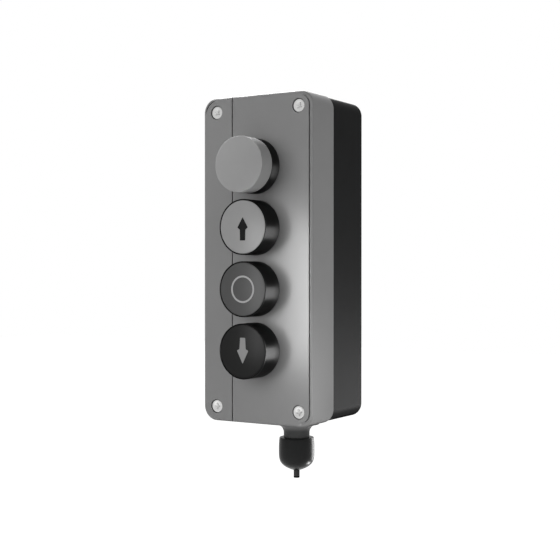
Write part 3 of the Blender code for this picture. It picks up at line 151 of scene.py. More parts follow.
finishes = {
    "coverGrey": moulded("coverGrey", (0.205, 0.205, 0.205), 0.3, 0.2, 0.35, 0.003, 0.03, 30.0, 0.03,
                         paintedShadeBelow=True),
    "baseBlack": moulded("baseBlack", (0.009, 0.0092, 0.0094), 0.5, 0.02, 0.45, 0.01, 0.12,
                         paintedShadeBelow=True),
    "headBlack": moulded("headBlack", (0.0035, 0.0035, 0.0035), 0.42, 0.06, 0.3, 0.0005, 0.1,
                         roughSpread=0.02, lathe=0.97),
    "capBlack": moulded("capBlack", (0.006, 0.006, 0.006), 0.5, 0.1, 0.3, 0.006, 0.1),
    "lensGrey": moulded("lensGrey", (0.27, 0.27, 0.27), 0.4, 0.08, 0.4, 0.0005, 0.02, 12.0, lathe=0.9),
    "plateGrey": moulded("plateGrey", (0.27, 0.27, 0.27), 0.35, 0.06, 0.3, 0.003, 0.02, 12.0),
    "plateDark": moulded("plateDark", (0.078, 0.078, 0.078), 0.35, 0.03, 0.3, 0.003, 0.03, 12.0),
    "plateBlack": moulded("plateBlack", (0.018, 0.018, 0.018), 0.35, 0.02, 0.3, 0.003, 0.05, 12.0),
    "inkDark": moulded("inkDark", (0.014, 0.014, 0.014), 0.5, 0.02, 0.2, 0.003, 0.05),
    "inkLight": moulded("inkLight", (0.38, 0.38, 0.38), 0.5, 0.06, 0.2, 0.003, 0.03),
    "inkMiddle": moulded("inkMiddle", (0.26, 0.26, 0.26), 0.5, 0.06, 0.2, 0.003, 0.03),
    "zinc": moulded("zinc", (0.58, 0.58, 0.575), 0.3, 0.5, 0.6, 0.001, 0.04, 2.0, 0.08, metallic=1.0,
                    streak=0.25),
    "glandGrey": moulded("glandGrey", (0.07, 0.071, 0.071), 0.5, 0.1, 0.3, 0.01, 0.06),
    "nutBlack": moulded("nutBlack", (0.014, 0.0145, 0.0145), 0.32, 0.1, 2.0, 0.0001, 0.1,
                        roughSpread=0.02),
    "cableBlack": moulded("cableBlack", (0.04, 0.04, 0.04), 0.6, 0.1, 0.5, 0.02, 0.1),
    "cutBlack": moulded("cutBlack", (0.003, 0.003, 0.003), 0.8, 0.02, 0.3, 0.02, 0.1),
    "rubberBlack": moulded("rubberBlack", (0.015, 0.015, 0.015), 0.8, 0.2, 0.4, 0.02, 0.15),
    "nutGrey": moulded("nutGrey", (0.16, 0.16, 0.16), 0.5, 0.4, 0.4, 0.01, 0.06),
    "blockGrey": moulded("blockGrey", (0.22, 0.22, 0.22), 0.5, 0.4, 0.4, 0.01, 0.06),
    "plungerWhite": moulded("plungerWhite", (0.7, 0.7, 0.68), 0.45, 0.4, 0.4, 0.01, 0.03),
    "ledClear": moulded("ledClear", (0.8, 0.8, 0.78), 0.15, 0.5, 0.4, 0.002, 0.02),
    "coreBlack": moulded("coreBlack", (0.03, 0.03, 0.03), 0.5, 0.4, 0.5, 0.01, 0.1),
    "coreBrown": moulded("coreBrown", (0.35, 0.17, 0.08), 0.5, 0.4, 0.5, 0.01, 0.06),
    "coreGrey": moulded("coreGrey", (0.4, 0.4, 0.4), 0.5, 0.4, 0.5, 0.01, 0.06),
    "coreBlue": moulded("coreBlue", (0.05, 0.1, 0.4), 0.5, 0.4, 0.5, 0.01, 0.06),
}


def makePaintedShadeStep(material, low, high, colour):  # painted shade: colour takes over from height low to height high, so the part below keeps the darker base colour
    tree = material.node_tree
    place = tree.nodes.new("ShaderNodeTexCoord")
    split = tree.nodes.new("ShaderNodeSeparateXYZ")
    level = addNode(tree, "ShaderNodeMapRange", From_Min=low * mm, From_Max=high * mm)
    level.interpolation_type = "SMOOTHSTEP"
    mix = tree.nodes.new("ShaderNodeMix")
    mix.data_type = "RGBA"
    mix.inputs["B"].default_value = (*colour, 1.0)
    base = tree.nodes["Principled BSDF"].inputs["Base Color"]
    tree.links.new(place.outputs["Object"], split.inputs["Vector"])
    tree.links.new(split.outputs["Z"], level.inputs["Value"])
    tree.links.new(level.outputs["Result"], mix.inputs["Factor"])
    tree.links.new(base.links[0].from_socket, mix.inputs["A"])
    tree.links.new(mix.outputs["Result"], base)


# painted shade: the gland body is painted light grey on the hexagon and upper flare and dark below, where
# the flare shades the neck
makePaintedShadeStep(finishes["glandGrey"], -97.6, -94.6, (0.2, 0.2, 0.2))
print("materials made:", len(finishes))


# Geometry Nodes
def newTree(name, sockets):
    tree = bpy.data.node_groups.new(name, "GeometryNodeTree")
    tree.is_modifier = True
    face = tree.interface
    face.new_socket("Geometry", in_out="INPUT", socket_type="NodeSocketGeometry")
    for label, kind, value in sockets:
        socket = face.new_socket(label, in_out="INPUT", socket_type="NodeSocket" + kind)
        if value is not None:
            socket.default_value = value
    face.new_socket("Geometry", in_out="OUTPUT", socket_type="NodeSocketGeometry")
    return tree, tree.nodes.new("NodeGroupInput"), tree.nodes.new("NodeGroupOutput")


def endTree(tree, source, given, output):
    real = tree.nodes.new("GeometryNodeRealizeInstances")
    paint = tree.nodes.new("GeometryNodeSetMaterial")
    tree.links.new(source, real.inputs["Geometry"])
    tree.links.new(real.outputs["Geometry"], paint.inputs["Geometry"])
    tree.links.new(given.outputs["Material"], paint.inputs["Material"])
    tree.links.new(paint.outputs["Geometry"], output.inputs["Geometry"])
    return tree


guideRadius = 0.02  # the profile is swept round this circle, outside every piece
mergeGap = 1e-6  # vertices nearer than this are one


def makeTurnTree():
    tree, given, output = newTree("turnedForm", [
        ("Segments", "Int", 96), ("Guide Radius", "Float", guideRadius), ("Material", "Material", None)])
    outline = tree.nodes.new("GeometryNodeMeshToCurve")
    guide = tree.nodes.new("GeometryNodeCurvePrimitiveCircle")
    sweep = tree.nodes.new("GeometryNodeCurveToMesh")
    weld = addNode(tree, "GeometryNodeMergeByDistance", Distance=mergeGap)
    tree.links.new(given.outputs["Geometry"], outline.inputs["Mesh"])
    tree.links.new(given.outputs["Segments"], guide.inputs["Resolution"])
    tree.links.new(given.outputs["Guide Radius"], guide.inputs["Radius"])
    tree.links.new(guide.outputs["Curve"], sweep.inputs["Curve"])
    tree.links.new(outline.outputs["Curve"], sweep.inputs["Profile Curve"])
    tree.links.new(sweep.outputs["Mesh"], weld.inputs["Geometry"])
    return endTree(tree, weld.outputs["Geometry"], given, output)


def makeRepeatTree():
    tree, given, output = newTree("repeatedPiece", [
        ("Piece", "Object", None), ("Turn Each", "Float", 0.7), ("Material", "Material", None)])
    fetch = tree.nodes.new("GeometryNodeObjectInfo")
    index = tree.nodes.new("GeometryNodeInputIndex")
    turn = addMath(tree, "MULTIPLY")
    spin = tree.nodes.new("ShaderNodeCombineXYZ")
    stand = tree.nodes.new("GeometryNodeInstanceOnPoints")
    tree.links.new(given.outputs["Piece"], fetch.inputs["Object"])
    tree.links.new(index.outputs["Index"], turn.inputs[0])
    tree.links.new(given.outputs["Turn Each"], turn.inputs[1])
    tree.links.new(turn.outputs["Value"], spin.inputs["Y"])
    tree.links.new(given.outputs["Geometry"], stand.inputs["Points"])
    tree.links.new(fetch.outputs["Geometry"], stand.inputs["Instance"])
    tree.links.new(spin.outputs["Vector"], stand.inputs["Rotation"])
    return endTree(tree, stand.outputs["Instances"], given, output)


def makeCoilTree():
    tree, given, output = newTree("wireCoil", [
        ("Radius", "Float", 0.006), ("Wire", "Float", 0.0007), ("Turns", "Float", 4.0),
        ("Length", "Float", 0.0197), ("Steps", "Int", 32), ("Material", "Material", None)])
    path = tree.nodes.new("GeometryNodeCurveSpiral")
    half = addMath(tree, "MULTIPLY", 0.5)
    section = addNode(tree, "GeometryNodeCurvePrimitiveCircle", Resolution=12)
    sweep = tree.nodes.new("GeometryNodeCurveToMesh")
    sweep.inputs["Fill Caps"].default_value = True
    tree.links.new(given.outputs["Steps"], path.inputs["Resolution"])
    tree.links.new(given.outputs["Turns"], path.inputs["Rotations"])
    tree.links.new(given.outputs["Radius"], path.inputs["Start Radius"])
    tree.links.new(given.outputs["Radius"], path.inputs["End Radius"])
    tree.links.new(given.outputs["Length"], path.inputs["Height"])
    tree.links.new(given.outputs["Wire"], half.inputs[0])
    tree.links.new(half.outputs["Value"], section.inputs["Radius"])
    tree.links.new(path.outputs["Curve"], sweep.inputs["Curve"])
    tree.links.new(section.outputs["Curve"], sweep.inputs["Profile Curve"])
    return endTree(tree, sweep.outputs["Mesh"], given, output)


turnTree = makeTurnTree()
repeatTree = makeRepeatTree()
coilTree = makeCoilTree()


def cleaned(mesh, place=None, angle=35.0):
    shape = bmesh.new()
    shape.from_mesh(mesh)
    if place is not None:
        shape.transform(place)
    bmesh.ops.remove_doubles(shape, verts=shape.verts, dist=mergeGap)
    bmesh.ops.recalc_face_normals(shape, faces=shape.faces)
    shape.to_mesh(mesh)
    shape.free()
    mesh.shade_smooth()
    mesh.set_sharp_from_angle(angle=math.radians(angle))
    return mesh


def built(name, shape, material=None, place=None):
    mesh = bpy.data.meshes.new(name)
    shape.to_mesh(mesh)
    shape.free()
    if material:
        mesh.materials.append(finishes[material])
    return link(bpy.data.objects.new(name, cleaned(mesh, place)))


def grown(name, tree, mesh, values, place=None, angle=35.0):
    holder = link(bpy.data.objects.new(name + "Seed", mesh))
    modifier = holder.modifiers.new("grow", "NODES")
    modifier.node_group = tree
    for item in tree.interface.items_tree:
        if item.item_type == "SOCKET" and item.in_out == "INPUT" and item.name in values:
            modifier[item.identifier] = values[item.name]
    bpy.context.view_layer.update()
    graph = bpy.context.evaluated_depsgraph_get()
    result = bpy.data.meshes.new_from_object(holder.evaluated_get(graph), depsgraph=graph)
    holder.modifiers.clear()
    bpy.data.objects.remove(holder)
    result.name = name
    return link(bpy.data.objects.new(name, cleaned(result, place, angle)))


def headPlace(key):
    turn = Matrix.Rotation(math.radians(90.0), 4, "X")  # local height becomes world -Y
    return Matrix.Translation((0.0, frontY * mm, headHeights[key] * mm)) @ turn


glandPlace = Matrix.Translation((0.0, glandY * mm, 0.0))


def turned(name, profile, place, material, segments=128, closed=False, angle=35.0):
    points = [(r * mm - guideRadius, -h * mm, 0.0) for r, h in profile]
    edges = [(i, i + 1) for i in range(len(points) - 1)]
    if closed:
        edges.append((len(points) - 1, 0))
    mesh = bpy.data.meshes.new(name + "Profile")
    mesh.from_pydata(points, edges, [])
    values = {"Segments": segments, "Guide Radius": guideRadius, "Material": finishes[material]}
    return grown(name, turnTree, mesh, values, place, angle)


def arc(centre, radius, start, end, count):
    points = []
    for i in range(count + 1):
        a = math.radians(start + (end - start) * i / count)
        points.append((centre[0] + radius * math.cos(a), centre[1] + radius * math.sin(a)))
    return points


# shells: rings of one rounded outline, each with its inset and depth
def outline(halfWidth, halfHeight, corner, steps=16):
    points = []
    for quarter, (sx, sz) in enumerate(((1, 1), (-1, 1), (-1, -1), (1, -1))):
        for i in range(steps + 1):
            a = math.radians(90.0 * (quarter + i / steps))
            fade = (math.cos(a), abs(math.sin(2 * a)), 0.0, math.cos(a))[quarter]
            points.append((sx * (halfWidth - corner) + corner * math.cos(a),
                           sz * (halfHeight - corner) + corner * math.sin(a), fade))
    return points


def lofted(name, rings, material):
    shape = bmesh.new()
    loops = []
    for halfWidth, halfHeight, corner, y, dip in rings:
        loops.append([shape.verts.new((x * mm, (y + dip * across) * mm, z * mm))
                      for x, z, across in outline(halfWidth, halfHeight, corner)])
    for near, far in zip(loops, loops[1:]):
        for i in range(len(near)):
            j = (i + 1) % len(near)
            shape.faces.new((near[i], near[j], far[j], far[i]))
    shape.faces.new(loops[0])
    shape.faces.new(loops[-1])
    return built(name, shape, material)


def block(name, low, high, corner=0.0):
    shape = bmesh.new()
    bmesh.ops.create_cube(shape, size=1.0)
    size = [h - l for l, h in zip(low, high)]
    middle = [(h + l) / 2 for l, h in zip(low, high)]
    bmesh.ops.scale(shape, vec=[s * mm for s in size], verts=shape.verts)
    bmesh.ops.translate(shape, vec=[c * mm for c in middle], verts=shape.verts)
    if corner:
        uprights = [e for e in shape.edges if abs(e.verts[0].co.y - e.verts[1].co.y) > mergeGap]
        bmesh.ops.bevel(shape, geom=uprights, offset=corner * mm, segments=6, profile=0.5, affect="EDGES")
    return built(name, shape)


def rod(name, radius, near, far, place, axis="Y", segments=48):  # place is across the axis
    shape = bmesh.new()
    bmesh.ops.create_cone(shape, cap_ends=True, segments=segments, radius1=radius * mm,
                          radius2=radius * mm, depth=(far - near) * mm)
    middle = (near + far) / 2
    if axis == "Y":
        bmesh.ops.rotate(shape, matrix=Matrix.Rotation(math.radians(90.0), 3, "X"), verts=shape.verts)
        bmesh.ops.translate(shape, vec=(place[0] * mm, middle * mm, place[1] * mm), verts=shape.verts)
    else:
        bmesh.ops.translate(shape, vec=(place[0] * mm, place[1] * mm, middle * mm), verts=shape.verts)
    return built(name, shape)


def settled(piece):
    bpy.context.view_layer.update()
    graph = bpy.context.evaluated_depsgraph_get()
    mesh = bpy.data.meshes.new_from_object(piece.evaluated_get(graph), depsgraph=graph)
    piece.modifiers.clear()
    piece.data = mesh
    mesh.name = piece.name
    return piece


def carved(piece, added, taken):
    for other, operation in [(o, "UNION") for o in added] + [(o, "DIFFERENCE") for o in taken]:
        step = piece.modifiers.new("carve", "BOOLEAN")
        step.solver = "EXACT"
        step.operation = operation
        step.object = other
    settled(piece)
    for other in [*added, *taken]:
        bpy.data.objects.remove(other)
    shape = bmesh.new()
    shape.from_mesh(piece.data)
    bmesh.ops.remove_doubles(shape, verts=shape.verts, dist=2 * mergeGap)
    bmesh.ops.dissolve_degenerate(shape, dist=mergeGap, edges=shape.edges)
    shape.to_mesh(piece.data)
    shape.free()
    piece.data.shade_smooth()
    piece.data.set_sharp_from_angle(angle=math.radians(32.0))
    flat = piece.modifiers.new("flat", "WEIGHTED_NORMAL")
    flat.keep_sharp = True
    flat.weight = 100
    settled(piece)
    return piece


def finish(piece, body, slot, *replaced):
    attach(piece, body)
    if replaced:
        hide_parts(*replaced)
    return piece


# front cover
cover = {"halfWidth": 35.0, "halfHeight": 89.0, "corner": 8.0, "rimY": -34.3, "fillet": 1.45,
         "wall": 3.3, "frontWall": 3.0, "tongue": 1.3, "tongueY": -32.3, "creaseWidth": 0.9,
         "creaseDepth": 1.0, "screwPlace": (26.3, 81.0), "screwWell": 3.8, "wellDepth": 2.2,
         "pillar": 4.2, "pillarEnd": -31.0, "bore": 2.05, "ribs": (33.5, 0.5, -32.5),
         "ribReach": 32.0, "ribDepth": 6.0, "ribWidth": 1.5, "grooveX": -15.8, "grooveWidth": 0.7,
         "grooveDepth": 1.0, "holeRadius": 11.25}
signs = [(sx, sz) for sx in (-1, 1) for sz in (-1, 1)]
screwPlaces = [(sx * cover["screwPlace"][0], sz * cover["screwPlace"][1]) for sx, sz in signs]
overcut = 1.0  # a cutter starts this far outside


def shellRing(shell, inset, y, dip=0.0):
    return (shell["halfWidth"] - inset, shell["halfHeight"] - inset, shell["corner"] - inset, y, dip)


def makeFrontCover():
    wall, inner = cover["wall"], cover["wall"] - cover["tongue"]
    fillet, crease, depth = cover["fillet"], cover["creaseWidth"], cover["creaseDepth"]
    outer = [(wall, frontY + cover["frontWall"]), (wall, cover["tongueY"]), (inner, cover["tongueY"]),
             (inner, cover["rimY"]), (0.22, cover["rimY"]), (0.06, cover["rimY"] - 0.08),
             (0.0, cover["rimY"] - 0.25)]
    outer += [(fillet - r, y) for r, y in arc((0.0, frontY + fillet), fillet, 0.0, -90.0, 12)]
    rings = [shellRing(cover, inset, y) for inset, y in outer]
    rings += [shellRing(cover, fillet + crease * share, frontY, dip)
              for share, dip in ((0.15, depth), (0.85, depth), (1.0, 0.0))]
    piece = lofted("frontCover", rings, "coverGrey")
    back, start = frontY + 1.5, frontY - overcut  # where pillars and ribs begin, and the cutters
    added = [rod("pillar", cover["pillar"], back, cover["pillarEnd"], place) for place in screwPlaces]
    reach, rib = cover["ribReach"], cover["ribWidth"] / 2
    added += [block("rib", (-reach, back, z - rib), (reach, frontY + cover["ribDepth"], z + rib))
              for z in cover["ribs"]]
    taken = [rod("well", cover["screwWell"], start, frontY + cover["wellDepth"], place)
             for place in screwPlaces]
    taken += [rod("bore", cover["bore"], start, cover["pillarEnd"] + 1.0, place)
              for place in screwPlaces]
    taken += [rod("hole", cover["holeRadius"], start, frontY + 5.0, (0.0, z), segments=64)
              for z in headHeights.values()]
    half = cover["grooveWidth"] / 2
    taken.append(block("groove", (cover["grooveX"] - half, start, -95.0),
                       (cover["grooveX"] + half, frontY + cover["grooveDepth"], 95.0)))
    return finish(carved(piece, added, taken), "station", "cover_grey", "front_cover")


makeFrontCover()
print("front cover made")


# rear housing
rear = {"halfWidth": 34.5, "halfHeight": 88.5, "corner": 7.5, "rimY": -34.0, "fillet": 1.5,
        "wall": 2.8, "backWall": 3.0, "rebate": 1.6, "rebateY": -31.0, "pillarFace": -30.7,
        "drillEnd": -16.0, "ribX": 17.0, "ribFace": -5.0, "fixing": (22.0, 66.0),
        "fixingRadius": 3.0, "pocket": (23.0, 9.0, 55.0, 0.8), "pocketCorner": 3.0,
        "cableHole": 8.1, "knockout": (8.1, 0.8, 0.4)}


def makeRearHousing():
    wall, fillet, bed = rear["wall"], rear["fillet"], rear["wall"] - rear["rebate"]
    outer = [(wall, -rear["backWall"]), (wall, rear["rebateY"]), (bed, rear["rebateY"]),
             (bed, rear["rimY"]), (0.2, rear["rimY"]), (0.0, rear["rimY"] + 0.2)]
    outer += [(fillet - r, y) for r, y in arc((0.0, -fillet), fillet, 0.0, 90.0, 10)]
    piece = lofted("rearHousing", [shellRing(rear, inset, y) for inset, y in outer], "baseBlack")
    added = [rod("pillar", cover["pillar"], rear["pillarFace"], -1.5, place) for place in screwPlaces]
    rib = cover["ribWidth"] / 2
    added += [block("rib", (x - rib, rear["ribFace"], -87.0), (x + rib, -1.5, 87.0))
              for x in (-rear["ribX"], rear["ribX"])]
    taken = [rod("drill", cover["bore"], -32.0, rear["drillEnd"], place) for place in screwPlaces]
    taken += [rod("fixing", rear["fixingRadius"], -8.0, overcut,
                  (sx * rear["fixing"][0], sz * rear["fixing"][1])) for sx, sz in signs]
    halfWidth, low, high, depth = rear["pocket"]
    for s in (-1, 1):
        z0, z1 = sorted((s * low, s * high))
        taken.append(block("pocket", (-halfWidth, -depth, z0), (halfWidth, overcut, z1),
                           rear["pocketCorner"]))
    taken.append(rod("cableHole", rear["cableHole"], -90.0, -80.0, (0.0, glandY), "Z"))
    radius, width, deep = rear["knockout"]
    floor = rear["halfHeight"] - deep
    groove = [(radius, floor), (radius, 90.0), (radius - width, 90.0), (radius - width, floor)]
    taken.append(turned("knockout", groove, glandPlace, "baseBlack", 64, True))
    return finish(carved(piece, added, taken), "station", "base_black", "rear_housing")


makeRearHousing()
print("rear housing made")


# screws
screw = {"head": 3.5, "height": 1.4, "sink": 0.5, "shank": 1.75, "length": 38.0, "point": 1.7,
         "dish": 0.22, "edge": 0.32, "cross": (1.7, 0.3, 0.35), "turnEach": 0.7}


def makeScrew():
    radius, height, dish, edge = screw["head"], screw["height"], screw["dish"], screw["edge"]
    profile = [(0.0, height - dish), (1.9, height - dish), (2.15, height - 0.12), (2.45, height),
               *arc((radius - edge, height - edge), edge, 80, 0, 6), (radius, 0.0), (screw["shank"], 0.0),
               (screw["shank"], -screw["length"] + screw["point"]), (0.0, -screw["length"])]
    piece = turned("screwHead", profile, Matrix.Rotation(math.radians(90.0), 4, "X"), "zinc", 64)
    reach, half, depth = screw["cross"]
    slots = [block("slot", (-x, -height - overcut, -z), (x, -height + depth, z))
             for x, z in ((reach, half), (half, reach))]
    return carved(piece, [], slots)


def makeCoverScrews():
    seed = makeScrew()
    seatY = frontY + screw["sink"] + screw["height"]
    mesh = bpy.data.meshes.new("screwPoints")
    mesh.from_pydata([(x * mm, seatY * mm, z * mm) for x, z in screwPlaces], [], [])
    values = {"Piece": seed, "Turn Each": screw["turnEach"], "Material": finishes["zinc"]}
    piece = grown("coverScrews", repeatTree, mesh, values)
    bpy.data.objects.remove(seed)
    return finish(piece, "station", "steel", *[f"cover_screw_{i}" for i in (1, 2, 3, 4)])


makeCoverScrews()
print("cover screws made")


# heads
head = {"radius": 14.85, "height": 13.7, "rimWall": 0.5, "rimRound": 0.28, "base": 0.3, "foot": 0.7,
        "gasketSeat": 13.95, "seatDepth": 1.4, "guide": 10.95, "guideEnd": -13.0, "guideBore": 4.2,
        "guideFloor": 2.0, "springWell": 8.5, "back": 3.7, "plateRadius": 14.15, "plateTop": 13.5,
        "plateBack": 12.5, "capTop": 12.2, "capSkirt": 8.5, "capInside": 12.95, "capCeiling": 10.0,
        "stem": 4.0, "stemEnd": -16.0, "stemCollar": 5.3, "collarTop": -13.3, "collarEnd": -14.5,
        "symbolLow": 13.4, "symbolTop": 13.56, "ringInner": 6.3, "ringOuter": 7.25}
# over all it is 20.4 mm long, from y -46.3 forward, and 4.5 mm shorter when pressed
spring = {"radius": 6.0, "wire": 0.7, "turns": 4.0, "length": 19.7, "steps": 36, "rear": -10.35}


def headBack():
    seat, base, depth, guide = head["gasketSeat"], head["base"], head["seatDepth"], head["guide"]
    return [(14.78, 0.42), (14.6, base), (seat, base), (seat, depth), (guide, depth),
            (guide, head["guideEnd"])]


def makeBezel(key):
    radius, height, r = head["radius"], head["height"], head["rimRound"]
    inner, back, bore, well = radius - head["rimWall"], head["back"], head["guideBore"], head["springWell"]
    end, floor = head["guideEnd"], head["guideEnd"] + head["guideFloor"]
    profile = [(inner, height - 0.12), (inner + 0.04, height - 0.03), (inner + 0.14, height),
               *arc((radius - r, height - r), r, 90, 0, 6), (radius, head["foot"]), *headBack(),
               (bore, end), (bore, floor), (well, floor), (well, back), (inner, back)]
    return finish(turned(f"{key}Bezel", profile, headPlace(key), "headBlack", 160, True),
                  "station", "gloss_black", f"{key}_bezel")


def makePlate(key, material, slot):
    top, radius, back = head["plateTop"], head["plateRadius"], head["plateBack"]
    profile = [(0.0, top), (radius - 0.25, top), (radius - 0.08, top - 0.05), (radius, top - 0.2),
               (radius, back), (0.0, back)]
    return finish(turned(f"{key}Plate", profile, headPlace(key), material, 160),
                  f"{key}_button", slot, f"{key}_plate")


def makeCap(key):
    radius, top, stem, end = head["plateRadius"], head["capTop"], head["stem"], head["stemEnd"]
    skirt, inside, ceiling = head["capSkirt"], head["capInside"], head["capCeiling"]
    collar, start, stop = head["stemCollar"], head["collarTop"], head["collarEnd"]
    profile = [(0.0, top), (radius, top), (radius, skirt), (inside, skirt), (inside, ceiling),
               (stem, ceiling), (stem, start), (collar, start), (collar, stop), (stem, end), (0.0, end)]
    return finish(turned(f"{key}Cap", profile, headPlace(key), "capBlack", 96),
                  f"{key}_button", "matt_black", f"{key}_cap")


def makeSymbol(name, key, points, material, slot, rounding=0.25):
    shape = bmesh.new()
    bottom, top = [[shape.verts.new((x * mm, z * mm, level * mm)) for x, z in points]
                   for level in (head["symbolLow"], head["symbolTop"])]
    shape.faces.new(bottom)
    shape.faces.new(top)
    for i in range(len(points)):
        j = (i + 1) % len(points)
        shape.faces.new((bottom[i], bottom[j], top[j], top[i]))
    uprights = [e for e in shape.edges if abs(e.verts[0].co.z - e.verts[1].co.z) > mergeGap]
    bmesh.ops.bevel(shape, geom=uprights, offset=rounding * mm, segments=4, profile=0.5, affect="EDGES")
    return finish(built(name, shape, material, headPlace(key)), f"{key}_button", slot)


def makeSpring(key):
    seed = bpy.data.meshes.new("springSeed")
    values = {"Radius": spring["radius"] * mm, "Wire": spring["wire"] * mm, "Turns": spring["turns"],
              "Length": spring["length"] * mm, "Steps": spring["steps"], "Material": finishes["zinc"]}
    place = headPlace(key) @ Matrix.Translation((0.0, 0.0, spring["rear"] * mm))
    piece = grown(f"{key}ReturnSpring", coilTree, seed, values, place, 60.0)
    finish(piece, "station", "steel", f"{key}_return_spring")
    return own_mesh(piece)


def makeHeads():
    plates = {"up": ("plateGrey", "plate_grey"), "stop": ("plateDark", "plate_dark"),
              "down": ("plateBlack", "plate_black")}
    for key, (material, slot) in plates.items():
        makeBezel(key)
        makeCap(key)
        makePlate(key, material, slot)
        makeSpring(key)
    upArrow = [(0.0, 5.2), (3.3, -0.3), (1.75, -1.45), (1.65, -7.15), (-1.65, -7.15), (-1.75, -1.45),
               (-3.3, -0.3)]
    downArrow = [(0.0, -6.5), (-3.6, 0.5), (-2.0, 1.2), (-1.6, 7.3), (1.6, 7.3), (2.0, 1.2), (3.6, 0.5)]
    makeSymbol("upArrow", "up", upArrow, "inkDark", "plate_black")
    makeSymbol("downArrow", "down", downArrow, "inkMiddle", "plate_grey", 0.4)
    inner, outer, low, top = head["ringInner"], head["ringOuter"], head["symbolLow"], head["symbolTop"]
    ring = [(inner, low), (outer, low), (outer, top), (inner, top)]
    piece = turned("stopRing", ring, headPlace("stop"), "inkLight", 128, True)
    finish(piece, "stop_button", "plate_grey")


makeHeads()
print("button heads made")


# lamp
lamp = {"radius": 14.85, "height": 17.4, "collar": 7.4, "shoulder": 7.7, "round": 0.22, "skirt": 13.4,
        "skirtEnd": 3.0, "inside": 12.2, "insideTop": 15.6, "socket": 13.7, "socketFloor": 2.7}


def makeLamp():
    radius, height, r, shoulder = lamp["radius"], lamp["height"], lamp["round"], lamp["shoulder"]
    skirt, end, inside, ceiling = lamp["skirt"], lamp["skirtEnd"], lamp["inside"], lamp["insideTop"]
    lens = [(0.0, height), *arc((radius - r, height - r), r, 90, 0, 8), (radius, shoulder + 0.15),
            (radius - 0.15, shoulder), (skirt, shoulder), (skirt, end), (inside, end),
            (inside, ceiling), (0.0, ceiling)]
    finish(turned("lampLens", lens, headPlace("lamp"), "lensGrey", 160),
           "station", "lens_grey", "lamp_lens")
    top, socket, floor, well = lamp["collar"], lamp["socket"], lamp["socketFloor"], head["springWell"]
    collar = [(socket, top), (radius - 0.2, top), (radius, top - 0.2), (radius, head["foot"]),
              *headBack(), (well, head["guideEnd"]), (well, floor), (socket, floor)]
    finish(turned("lampCollar", collar, headPlace("lamp"), "headBlack", 160, True),
           "station", "gloss_black", "lamp_collar")


makeLamp()
print("lamp made")


# gland and cable
gland = {"flats": 20.0, "hexTop": -90.1, "hexBottom": -95.5, "crown": 10.4, "crownEdge": -92.9,
         "crownEnd": -93.6, "thread": 7.8, "threadTop": -76.2, "bore": 4.5, "sealBore": 5.8,
         "sealTop": -100.7, "sleeve": 6.8, "sleeveEnd": -110.8, "neck": 7.4, "neckBottom": -100.9,
         "flareOut": 13.0, "lip": -93.3, "flareEnd": -98.6, "flareHeight": 5.0, "nutTop": -101.2,
         "nutBulge": -107.5, "nutEnd": -119.9, "nutRadius": 10.2, "nutInside": 7.1,
         "nutThreadEnd": -111.1, "waist": 0.35, "closing": 4.6, "nose": 2.6, "mouth": 2.0,
         "cable": 1.7, "cableTop": -73.7, "cableEnd": -124.5, "cutLength": 0.9}


def clipped(piece, operation, other):
    step = piece.modifiers.new("clip", "BOOLEAN")
    step.solver, step.operation, step.object = "EXACT", operation, other
    settled(piece)
    bpy.data.objects.remove(other)


def makeHexagon():
    top, bottom = gland["hexTop"], gland["hexBottom"]
    across = gland["flats"] / 2 / math.cos(math.pi / 6)
    shape = bmesh.new()
    bmesh.ops.create_cone(shape, cap_ends=True, segments=6, radius1=across * mm, radius2=across * mm,
                          depth=(top - bottom) * mm)
    bmesh.ops.rotate(shape, matrix=Matrix.Rotation(math.pi / 6, 3, "Z"), verts=shape.verts)
    bmesh.ops.translate(shape, vec=(0, glandY * mm, (top + bottom) / 2 * mm), verts=shape.verts)
    hexagon = built("hexagon", shape)
    crown, edge, end = gland["crown"], gland["crownEdge"], gland["crownEnd"]
    rounded = [(0.0, top), (crown, top), (across, top - 0.7), (across, edge), (crown, end), (0.0, end)]
    clipped(hexagon, "INTERSECT", turned("crown", rounded, glandPlace, "glandGrey", 96))
    clipped(hexagon, "DIFFERENCE", rod("bore", 6.0, -97.0, -88.0, (0.0, glandY), "Z"))
    return hexagon


def makeGlandBody():
    out, neck, thread, bore = gland["flareOut"], gland["neck"], gland["thread"], gland["bore"]
    flare = []
    for i in range(17):  # hollow curve from the lip down to the neck
        turn = math.pi / 2 * i / 16
        flare.append((neck + (out - neck) * (1 - math.sin(turn)),
                      gland["flareEnd"] + gland["flareHeight"] * math.cos(turn)))
    under, end, sleeve = gland["hexTop"] - 1.0, gland["neckBottom"], gland["sleeve"]
    profile = [(bore, gland["threadTop"]), (thread, gland["threadTop"]), (thread, under), (10.0, under),
               (10.5, gland["crownEdge"]), (out - 0.3, gland["lip"]), *flare, (neck, end), (sleeve, end),
               (sleeve, gland["sleeveEnd"]), (gland["sealBore"], gland["sleeveEnd"]),
               (gland["sealBore"], gland["sealTop"]), (bore, gland["sealTop"])]
    piece = turned("glandBody", profile, glandPlace, "glandGrey", 96, True)
    return finish(carved(piece, [makeHexagon()], []), "station", "gland_grey", "gland_body")


def makeDomeNut():
    top, bulge, end = gland["nutTop"], gland["nutBulge"], gland["nutEnd"]
    radius, nose, inside, mouth = gland["nutRadius"], gland["nose"], gland["nutInside"], gland["mouth"]
    profile = [(inside, top), (radius - 0.85, top), (radius - 0.5, top - 0.12)]
    for u in (1.0, 0.75, 0.5, 0.25):  # slightly narrower towards the top
        profile.append((radius - gland["waist"] * u * u, bulge + (top - 0.4 - bulge) * u))
    for i in range(25):  # full body that closes to a small nose
        u = i / 24
        share = 1 - u ** gland["closing"]
        profile.append((nose + (radius - nose) * share, bulge + (end - bulge) * u))
    profile += [(mouth + 0.2, end), (mouth, end + 0.2), (mouth, end + 2.9),
                (inside, gland["nutThreadEnd"])]
    finish(turned("glandDomeNut", profile, glandPlace, "nutBlack", 128, True),
           "station", "matt_black", "gland_dome_nut")


